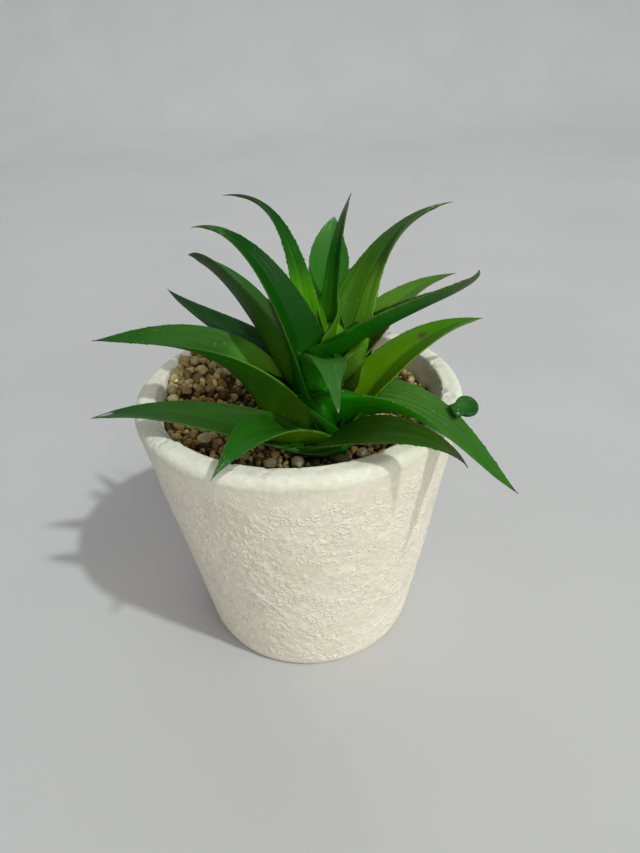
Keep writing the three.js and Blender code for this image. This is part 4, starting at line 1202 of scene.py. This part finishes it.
def tab_material():
    t = Tree("tab_moulded")
    place = t.place()
    a = t.noise(place, 260.0, 4.0, 0.6)
    colour = t.ramp(a, [(0.3, (0.004, 0.045, 0.003)), (0.5, (0.010, 0.078, 0.004)), (0.72, (0.020, 0.105, 0.008))])
    fleck = t.noise(place, 1250.0, 3.0, 0.7)
    colour = t.mix(t.span(fleck, 0.655, 0.70, 0.0, 0.9), colour, (0.50, 0.58, 0.45))
    n1 = t.bump(a, 0.3, 0.0003)
    n2 = t.bump(t.noise(place, 1500.0, 3.0), 0.15, 0.0001, n1)
    return t.finish(colour, t.span(a, 0.3, 0.7, 0.34, 0.46, "LINEAR"), n2, Specular_IOR_Level=0.16)


def plug_material():
    t = Tree("plug_foam_cells")
    place = t.place()
    cells = t.voronoi(place, 900.0)
    a = t.noise(place, 160.0, 4.0, 0.6)
    colour = t.ramp(a, [(0.3, (0.030, 0.060, 0.020)), (0.7, (0.060, 0.10, 0.035))])
    colour = t.mix(t.span(cells, 0.2, 0.55, 0.0, 0.6), colour, (0.018, 0.034, 0.012))
    n1 = t.bump(cells, 0.6, 0.0004)
    return t.finish(colour, t.span(a, 0.3, 0.7, 0.85, 0.98, "LINEAR"), n1, Specular_IOR_Level=0.2)


# ------------------------------------------------------------------ how each leaf looks
G_DARK = (0.004, 0.052, 0.002)
G_MID = (0.012, 0.095, 0.004)
G_LIGHT = (0.035, 0.165, 0.006)
G_LIME = (0.085, 0.250, 0.006)
OLIVE = (0.045, 0.105, 0.006)
OLIVE_DK = (0.022, 0.055, 0.003)
BROWN = (0.060, 0.050, 0.020)
PURPLE = (0.045, 0.022, 0.022)
WHITISH = (0.42, 0.47, 0.36)

# the small front leaf runs quickly to a thin point, more from one side
SLIM_AT = [0.0, 0.60, 0.67, 0.735, 0.81, 0.865, 0.93, 1.0]
SLIM_IN = [1.0, 1.03, 0.97, 0.70, 0.46, 0.40, 0.38, 0.50]
SLIM_OUT = [1.0, 1.05, 1.12, 1.14, 1.09, 1.05, 1.0, 1.0]

LOOKS = {
    "leaf_upper_left_tall": dict(
        top=[(0.0, (0.12, 0.32, 0.004)), (0.25, (0.0588, 0.2538, 0.003)), (0.45, (0.0099, 0.0884, 0.0021)), (0.7, (0.0036, 0.055, 0.0021)), (0.88, (0.0048, 0.042, 0.004)), (1.0, PURPLE)],
        under=[(0.0, (0.06, 0.24, 0.004)), (0.5, (0.02, 0.15, 0.003)), (0.85, (0.006, 0.07, 0.003)), (1.0, PURPLE)],
        tip=PURPLE, tip_len=0.10, edge=(0.16, 0.20, 0.04), edge_amount=0.5, teeth=0.30,
    ),
    "leaf_left_large": dict(
        top=[(0.0, (0.015, 0.111, 0.0006)), (0.25, (0.0024, 0.04906, 0.00024)), (0.7, (0.001275, 0.04884, 0.00027)), (0.88, (0.006, 0.0814, 0.0018)), (1.0, (0.01, 0.0814, 0.003))],
        under=[(0.0, (0.006, 0.10, 0.001)), (0.5, (0.004, 0.085, 0.001)), (1.0, (0.004, 0.06, 0.002))],
        scuffs=[(0.80, 0.97, 0.35, (0.30, 0.36, 0.22))], edge=(0.24, 0.26, 0.05), edge_amount=0.4, teeth=0.18, rise=1.0, web=0.20, wrap_left=0.0, wrap_right=0.0, spec=0.09, rough=0.50, wrinkle=0.06,
    ),
    "leaf_left_mid": dict(
        top=[(0.0, (0.065, 0.1755, 0.004)), (0.3, (0.02574, 0.1033, 0.0027)), (0.65, (0.01326, 0.09758, 0.0048)), (0.9, (0.013, 0.0945, 0.012)), (1.0, (0.013, 0.0675, 0.01))],
        under=[(0.0, (0.05, 0.15, 0.006)), (0.5, (0.0175, 0.0715, 0.0036)), (1.0, (0.015, 0.056, 0.0048))],
        glow=[(0, (0.030, 0.070, 0.005), 0.22)], edge=(0.12, 0.18, 0.05), edge_amount=0.3, teeth=0.36, tip_len=0.07,
    ),
    "leaf_left_back": dict(
        top=[(0.0, (0.0045, 0.0558, 0.00096)), (0.4, (0.00225, 0.04185, 0.00192)), (1.0, (0.00225, 0.03627, 0.0024))],
        under=[(0.0, (0.02, 0.09, 0.004)), (0.5, (0.010, 0.07, 0.005)), (1.0, (0.010, 0.05, 0.006))],
        tip=(0.02, 0.03, 0.012), tip_len=0.08, edge_amount=0.3, teeth=0.2, edge=(0.10, 0.18, 0.06), wrap_left=70.0,
    ),
    "leaf_left_long": dict(
        # the base of the top face is painted brighter: painted light over the shadow that upper leaves cast there
        top=[(0.0, (0.1326, 0.2285, 0.00588)), (0.16, (0.1245, 0.2752, 0.009408)), (0.36, (0.0542, 0.1914, 0.0135)), (0.46, (0.0244, 0.1003, 0.0072)), (1.0, (0.0113, 0.0743, 0.006))],
        under=[(0.0, (0.045, 0.10, 0.002)), (0.22, (0.020, 0.10, 0.001)), (0.5, (0.008, 0.13, 0.001)), (1.0, (0.012, 0.14, 0.004))],
        scuffs=[(0.35, 0.9, 0.12, (0.10, 0.20, 0.08))], edge=(0.10, 0.24, 0.04), edge_amount=0.5, teeth=0.2, rough=0.44, dust=0.7,
    ),
    "leaf_left_low": dict(
        top=[(0.0, (0.0238, 0.0888, 0.0048)), (0.4, (0.01904, 0.074, 0.0064)), (0.9, (0.01632, 0.074, 0.0096)), (1.0, (0.0136, 0.0592, 0.0096))],
        under=[(0.0, (0.03, 0.11, 0.004)), (0.5, (0.012, 0.09, 0.003)), (1.0, (0.012, 0.08, 0.006))],
        spots=[(0.925, 0.0, 0.045, 0.9, (0.36, 0.42, 0.34), 0.8)], tip=(0.02, 0.05, 0.02), tip_len=0.05, edge=(0.16, 0.28, 0.10), edge_amount=0.5,
    ),
    "leaf_front_left": dict(
        top=[(0.0, (0.021, 0.096, 0.0028)), (0.5, (0.0154, 0.092, 0.0042)), (0.9, (0.0112, 0.092, 0.0042)), (1.0, (0.035, 0.12, 0.021))],
        under=[(0.0, (0.06, 0.16, 0.002)), (0.3, (0.075, 0.18, 0.002)), (0.6, (0.045, 0.155, 0.004)), (1.0, (0.04, 0.14, 0.02))],
        scuffs=[(0.86, 0.98, 0.30, WHITISH)], edge=(0.16, 0.28, 0.08), edge_amount=0.4, tip=(0.22, 0.28, 0.16), tip_len=0.025,
    ),
    "leaf_front_centre": dict(
        top=[(0.0, (0.027, 0.117, 0.0028)), (0.25, (0.0216, 0.0858, 0.007)), (0.6, (0.0234, 0.0936, 0.0098)), (0.85, (0.027, 0.1092, 0.014)), (0.95, (0.054, 0.1482, 0.028)), (1.0, WHITISH)],
        # the underside is painted much brighter than the top: painted light in the shade beneath the leaf
        under=[(0.0, (0.006019, 0.08813, 0.0016)), (0.35, (0.02244, 0.257, 0.0054)), (0.7, (0.066, 0.238, 0.024)), (0.93, (0.132, 0.34, 0.08)), (1.0, WHITISH)],
        scuffs=[(0.80, 0.98, 0.15, (0.16, 0.28, 0.16))], edge=(0.10, 0.24, 0.08), edge_amount=0.4, tip=WHITISH, tip_len=0.025, rough=0.40, teeth=0.1, flat=0.62,
        slim=[(1, SLIM_AT, SLIM_IN), (-1, SLIM_AT, SLIM_OUT)],
    ),
    "leaf_right_long": dict(
        top=[(0.0, (0.0775, 0.2489, 0.0099)), (0.25, (0.06818, 0.1882, 0.02356)), (0.6, (0.03869, 0.1335, 0.01386)), (0.8, (0.02418, 0.1274, 0.007425)), (1.0, (0.0279, 0.1444, 0.007425))],
        # the underside is painted brighter than the top: painted light on a face turned away from the lamps
        under=[(0.0, (0.004, 0.08, 0.001)), (0.15, (0.014, 0.224, 0.0012)), (0.4, (0.028, 0.297, 0.002)), (1.0, (0.028, 0.27, 0.004))],
        scuffs=[(0.3, 0.9, 0.10, (0.10, 0.18, 0.07))], edge=(0.10, 0.26, 0.05), edge_amount=0.5, teeth=0.28, veins=11.0, dust=0.6,
        marks=[(0.20, 0.10, 0.16, 0.82, 0.030, (0.010, 0.050, 0.003), 0.75), (0.42, 0.06, 0.14, 0.74, 0.026, (0.010, 0.050, 0.003), 0.7), (0.62, -0.05, 0.20, 0.66, 0.022, (0.012, 0.055, 0.004), 0.6), (-0.35, 0.1, 0.2, 0.8, 0.03, (0.010, 0.07, 0.003), 0.5)], rough=0.44, wrinkle=0.06,
        vein_height=0.03, lines=0.16, cup=8.2, wrap_left=110.0, wrap_right=176.0, rise=5.2, web=0.26, sheath=(0.006, 0.065, 0.001),
    ),
    "leaf_right_low": dict(
        top=[(0.0, (0.021, 0.0858, 0.0012)), (0.35, (0.0126, 0.0468, 0.0006)), (0.8, (0.021, 0.0741, 0.0018)), (1.0, BROWN)],
        under=[(0.0, (0.02, 0.10, 0.002)), (0.5, (0.016, 0.08, 0.001)), (1.0, BROWN)],
        lines=0.30, streak=0.2, edge=(0.14, 0.20, 0.04), edge_amount=0.45, tip=BROWN, tip_len=0.06,
        marks=[(0.30, -0.1, 0.12, 0.62, 0.035, (0.008, 0.026, 0.002), 0.8), (0.62, -0.2, 0.10, 0.50, 0.030, (0.008, 0.026, 0.002), 0.7), (-0.25, 0.15, 0.15, 0.7, 0.03, (0.008, 0.028, 0.002), 0.6)],
    ),
    "leaf_right_broad": dict(
        top=[(0.0, (0.117, 0.25, 0.00108)), (0.3, (0.06388, 0.1633, 0.000576)), (0.7, (0.03852, 0.1453, 0.001008)), (1.0, (0.02924, 0.1562, 0.0036))],
        under=[(0.0, (0.08, 0.26, 0.004)), (0.5, (0.05, 0.20, 0.004)), (1.0, (0.03, 0.12, 0.006))],
        spots=[(0.585, 0.30, 0.024, 0.20, (0.020, 0.018, 0.006), 0.95), (0.585, 0.30, 0.045, 0.38, (0.06, 0.08, 0.010), 0.6)], edge=(0.24, 0.36, 0.06), edge_amount=0.4,
        pinch=[(-1, 0.62, 0.34)], sheath=(0.045, 0.120, 0.002), wrap_right=30.0, spec=0.06, dust=0.05,
        marks=[(-0.30, 0.05, 0.22, 0.50, 0.030, (0.17, 0.31, 0.06), 0.8), (0.05, 0.0, 0.1, 0.8, 0.04, (0.035, 0.12, 0.002), 0.4)],
    ),
    "leaf_right_upcurved": dict(
        top=[(0.0, (0.015, 0.0884, 0.0016)), (0.3, (0.006, 0.0578, 0.0016)), (0.75, (0.012, 0.0578, 0.0032)), (1.0, (0.0375, 0.0612, 0.016))],
        under=[(0.0, (0.0042, 0.0896, 0.0008)), (0.4, (0.0056, 0.0832, 0.0008)), (0.7, (0.021, 0.0704, 0.0016)), (1.0, (0.028, 0.0512, 0.012))],
        wrinkle=0.14, edge=(0.12, 0.11, 0.02), edge_amount=0.6, teeth=0.38, rise=-4.2, web=0.18, wrap_left=120.0, wrap_right=140.0, cup=4.2,
    ),
    "leaf_right_back": dict(
        top=[(0.0, (0.08, 0.17, 0.003)), (0.4, (0.065, 0.15, 0.003)), (0.8, (0.05, 0.15, 0.006)), (1.0, (0.04, 0.15, 0.008))],
        under=[(0.0, (0.04, 0.11, 0.003)), (0.5, (0.03, 0.09, 0.003)), (1.0, (0.03, 0.08, 0.005))],
        edge=(0.14, 0.24, 0.06), edge_amount=0.4, teeth=0.3, sheath=(0.038, 0.092, 0.001), wrap_right=76.0,
    ),
    "leaf_upper_right": dict(
        top=[(0.0, (0.04118, 0.1434, 0.00072)), (0.3, (0.03101, 0.1145, 0.000972)), (0.7, (0.01723, 0.06733, 0.00144)), (1.0, (0.02496, 0.06199, 0.0072))],
        under=[(0.0, (0.04, 0.16, 0.003)), (0.5, (0.03, 0.11, 0.004)), (1.0, (0.03, 0.08, 0.006))],
        # the right half of the fold is painted lighter: painted light on the lit half
        side=(-1, (0.150, 0.370, 0.018), 0.88, 0.52), lines=0.2, streak=0.16, sheath_right=(0.034, 0.092, 0.001), sheath_under=(0.034, 0.085, 0.001),
        scuffs=[(0.84, 0.95, 0.35, (0.30, 0.32, 0.22))], edge=(0.16, 0.24, 0.06), edge_amount=0.2, teeth=0.26, wrap_right=70.0, wrap_left=120.0,
        # the first mark, pale along the middle of the fold, is a painted highlight; the second is a dark vein
        marks=[(0.02, 0.0, 0.08, 0.60, 0.05, (0.075, 0.170, 0.010), 0.6), (0.45, 0.1, 0.2, 0.9, 0.03, (0.012, 0.045, 0.003), 0.6)],
    ),
    "leaf_centre_narrow": dict(
        top=[(0.0, (0.07, 0.26, 0.002)), (0.3, (0.020, 0.15, 0.002)), (0.6, (0.004, 0.085, 0.001)), (1.0, (0.08, 0.09, 0.05))],
        under=[(0.0, (0.06, 0.25, 0.002)), (0.3, (0.012, 0.13, 0.001)), (0.6, (0.003, 0.075, 0.001)), (1.0, (0.08, 0.08, 0.05))],
        scuffs=[(0.88, 0.99, 0.5, (0.34, 0.28, 0.22))], teeth=0.14, edge_amount=0.1, cup=4.4, wrap=150.0, web=0.34, rise=0.6,
    ),
    "leaf_centre_broad": dict(
        top=[(0.0, (0.0495, 0.196, 0.0018)), (0.3, (0.022, 0.1365, 0.0045)), (0.7, (0.02475, 0.133, 0.0108)), (1.0, (0.044, 0.168, 0.027))],
        under=[(0.0, (0.05, 0.2, 0.004)), (0.5, (0.02, 0.12, 0.008)), (1.0, (0.05, 0.15, 0.03))],
        scuffs=[(0.86, 0.99, 0.2, (0.26, 0.36, 0.22))], edge=(0.16, 0.32, 0.12), edge_amount=0.4, tip=(0.10, 0.26, 0.08), cup=4.2, wrap=110.0, rise=0.5, web=0.16, pinch=[(-1, 0.93, 0.66)],
        marks=[(0.42, -0.25, 0.25, 0.85, 0.030, (0.012, 0.085, 0.010), 0.7), (0.20, -0.10, 0.30, 0.75, 0.022, (0.012, 0.085, 0.010), 0.6)],
    ),
}
REAR = dict(
    top=[(0.0, (0.07, 0.20, 0.004)), (0.3, (0.045, 0.15, 0.004)), (0.8, (0.030, 0.12, 0.006)), (1.0, (0.02, 0.07, 0.010))],
    under=[(0.0, (0.04, 0.14, 0.004)), (0.5, (0.016, 0.10, 0.004)), (1.0, (0.02, 0.06, 0.008))],
    edge=(0.14, 0.24, 0.06), edge_amount=0.4, teeth=0.26, wrap=96.0,
)
LOOKS["leaf_rear_upper"] = dict(
    top=[(0.0, (0.06, 0.17, 0.004)), (0.3, (0.060, 0.18, 0.006)), (0.8, (0.045, 0.165, 0.008)), (1.0, (0.02, 0.09, 0.010))],
    under=[(0.0, (0.04, 0.14, 0.004)), (0.5, (0.020, 0.11, 0.004)), (1.0, (0.02, 0.06, 0.008))],
    edge=(0.14, 0.26, 0.06), edge_amount=0.4, teeth=0.34, wrap_left=96.0, wrap_right=60.0, pinch=[(-1, -0.20, 3.0)],
    sheath=(0.038, 0.092, 0.001),
)

# lower sheaths: the plastic's dark green, darkened with painted shade under the leaves; top-tier cups: bright lime,
# partly the plastic's colour, partly painted light shining through the thin cups
SHEATH_LOW_SHADE = (0.006, 0.085, 0.001)
SHEATH_TOP = (0.075, 0.260, 0.002)
for leaf, look in LOOKS.items():
    top_tier = leaf in (
        "leaf_upper_left_tall", "leaf_upper_right", "leaf_centre_narrow", "leaf_centre_broad"
    )
    look.setdefault("sheath", SHEATH_TOP if top_tier else SHEATH_LOW_SHADE)
REAR["sheath"] = SHEATH_LOW_SHADE
for leaf in ("leaf_centre_narrow", "leaf_centre_broad"):
    LOOKS[leaf]["sheath"] = (0.040, 0.138, 0.002)

# ------------------------------------------------------------------ make the pieces
blades = []
for n, row in enumerate(LEAVES):
    look = LOOKS.get(row[0], REAR)
    o = build_leaf(row, look, n + 1)
    o.data.materials.append(leaf_material(row[0] + "_skin", look, n + 1))
    ride(o, "leaf_plastic", row[0])
    blades.append(o)

points = []
for o in blades:
    co = np.zeros(len(o.data.vertices) * 3, np.float32)
    o.data.vertices.foreach_get("co", co)
    points.append(co.reshape(-1, 3)[::7] / MM)
points = np.concatenate(points)
points = points[points[:, 2] < 72]
tree = KDTree(len(points))
for i, p in enumerate(points):
    tree.insert(Vector(p), i)
tree.balance()

pot = build_pot()
pot.data.materials.append(pot_material())
ride(pot, "pot_cement", "pot")

crust = build_bed()
crust.data.materials.append(crust_material())
ride(crust, "gravel", "gravel_bed")

gravel_skin = grain_material()
for o in build_grains(tree):
    o.data.materials.append(gravel_skin)
    ride(o, "gravel")

STONE_TONES = [
    ((0.58, 0.51, 0.33), (0.42, 0.34, 0.18), (0.28, 0.19, 0.08)),
    ((0.46, 0.39, 0.22), (0.34, 0.27, 0.13), (0.22, 0.13, 0.05)),
    ((0.30, 0.19, 0.08), (0.21, 0.11, 0.04), (0.13, 0.05, 0.014)),
    ((0.50, 0.42, 0.23), (0.36, 0.28, 0.13), (0.22, 0.13, 0.05)),
    # stones 5 to 8 lie at the front under the leaves: dark stones in their own right, darkened further with painted
    # shade of the leaves
    ((0.14, 0.12, 0.06), (0.09, 0.065, 0.03), (0.045, 0.03, 0.015)),
    ((0.18, 0.16, 0.09), (0.12, 0.10, 0.05), (0.06, 0.045, 0.022)),
    ((0.13, 0.11, 0.055), (0.08, 0.06, 0.028), (0.045, 0.03, 0.014)),
    ((0.19, 0.16, 0.09), (0.13, 0.10, 0.05), (0.07, 0.05, 0.024)),
]
for n, (p, c) in enumerate(zip(PEBBLES, STONE_TONES), 1):
    o = build_pebble(n, *p)
    o.data.materials.append(pebble_material("stone_skin_%d" % n, *c, n))
    ride(o, "pebble", "pebble_%d" % n)

stem = build_stem()
stem.data.materials.append(stem_material())
ride(stem, "stem_plastic", "stem")

tab = build_tab()
tab.data.materials.append(tab_material())
ride(tab, "leaf_plastic")

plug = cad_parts["potting_plug"]
plug.data.materials.clear()
plug.data.materials.append(plug_material())

# ------------------------------------------------------------------ floor
def build_stage():
    """A pale floor that curves up far behind the pot."""
    prof = [(y, 0.0) for y in np.linspace(-2.5, 0.9, 30)]
    for k in range(1, 17):
        a = math.pi / 2 * k / 16
        prof.append((0.9 + 0.5 * math.sin(a), 0.5 - 0.5 * math.cos(a)))
    prof += [(1.4, z) for z in np.linspace(0.6, 2.2, 6)]
    xs = np.linspace(-2.5, 2.5, 21)
    V = np.array([[x, y, z] for (y, z) in prof for x in xs]) / MM
    m, n = len(prof), len(xs)
    i = np.arange(m - 1)[:, None] * n
    j = np.arange(n - 1)[None]
    quads = np.stack([i + j, i + j + 1, i + n + j + 1, i + n + j], -1).reshape(-1, 4)
    o = make_mesh("studio_floor", V, quads)
    t = Tree("pale_floor")
    place = t.place()
    a = t.noise(place, 9.0, 3.0)
    colour = t.ramp(a, [(0.3, (0.475, 0.4655, 0.4732)), (0.7, (0.505, 0.494, 0.5029))])
    n1 = t.bump(t.noise(place, 500.0, 2.0), 0.04, 0.0002)
    t.finish(colour, 0.75, n1, Specular_IOR_Level=0.25)
    o.data.materials.append(t.mat)
    return o


build_stage()

# ------------------------------------------------------------------ light
world = bpy.data.worlds.new("soft_room")
bpy.context.scene.world = world
world.use_nodes = True
world.node_tree.nodes["Background"].inputs[0].default_value = (0.95, 0.985, 1.0, 1.0)
world.node_tree.nodes["Background"].inputs[1].default_value = 0.27


def area(name, place, target, size, power, colour):
    light = bpy.data.lights.new(name, "AREA")
    light.shape = "DISK"
    light.size = size
    light.energy = power
    light.color = colour
    o = bpy.data.objects.new(name, light)
    o.location = place
    o.rotation_euler = (Vector(target) - Vector(place)).to_track_quat("-Z", "Y").to_euler()
    bpy.context.scene.collection.objects.link(o)
    return o


sun = bpy.data.lights.new("key", "SUN")
sun.energy = 1.66
sun.angle = math.radians(2.4)
sun.color = (0.92, 1.0, 0.96)
key = bpy.data.objects.new("key", sun)
to_light = Vector((0.461, -0.387, 0.799))
key.rotation_euler = to_light.to_track_quat("Z", "Y").to_euler()
bpy.context.scene.collection.objects.link(key)
area("soft_front_right", (0.62, -0.60, 0.85), (0, 0, 0.07), 0.9, 3.2, (1.0, 0.99, 0.95))
area("soft_front", (0.45, -1.75, 0.70), (0, 0, 0.05), 0.9, 11.0, (1.0, 0.95, 0.87))
area("soft_top_back", (0.05, 0.62, 1.05), (0, 0, 0.08), 1.0, 2.6, (0.95, 0.98, 1.0))

# ------------------------------------------------------------------ camera
lens = bpy.data.cameras.new("camera")
lens.sensor_fit = "AUTO"
lens.sensor_width = 36.0
lens.lens = 25.361
lens.clip_start = 0.005
lens.clip_end = 20.0
cam = bpy.data.objects.new("camera", lens)
right = Vector((0.9974, -0.0610, -0.0375)).normalized()
ahead = Vector((0.0311, 0.8405, -0.5409)).normalized()
upward = right.cross(ahead).normalized()
right = ahead.cross(upward).normalized()
cam.matrix_world = Matrix(
    (
        (right.x, upward.x, -ahead.x, 0.0),
        (right.y, upward.y, -ahead.y, -0.1315),
        (right.z, upward.z, -ahead.z, 0.1423),
        (0, 0, 0, 1),
    )
)
bpy.context.scene.collection.objects.link(cam)
bpy.context.scene.camera = cam
bpy.context.scene.view_settings.view_transform = "Standard"

bpy.context.view_layer.update()
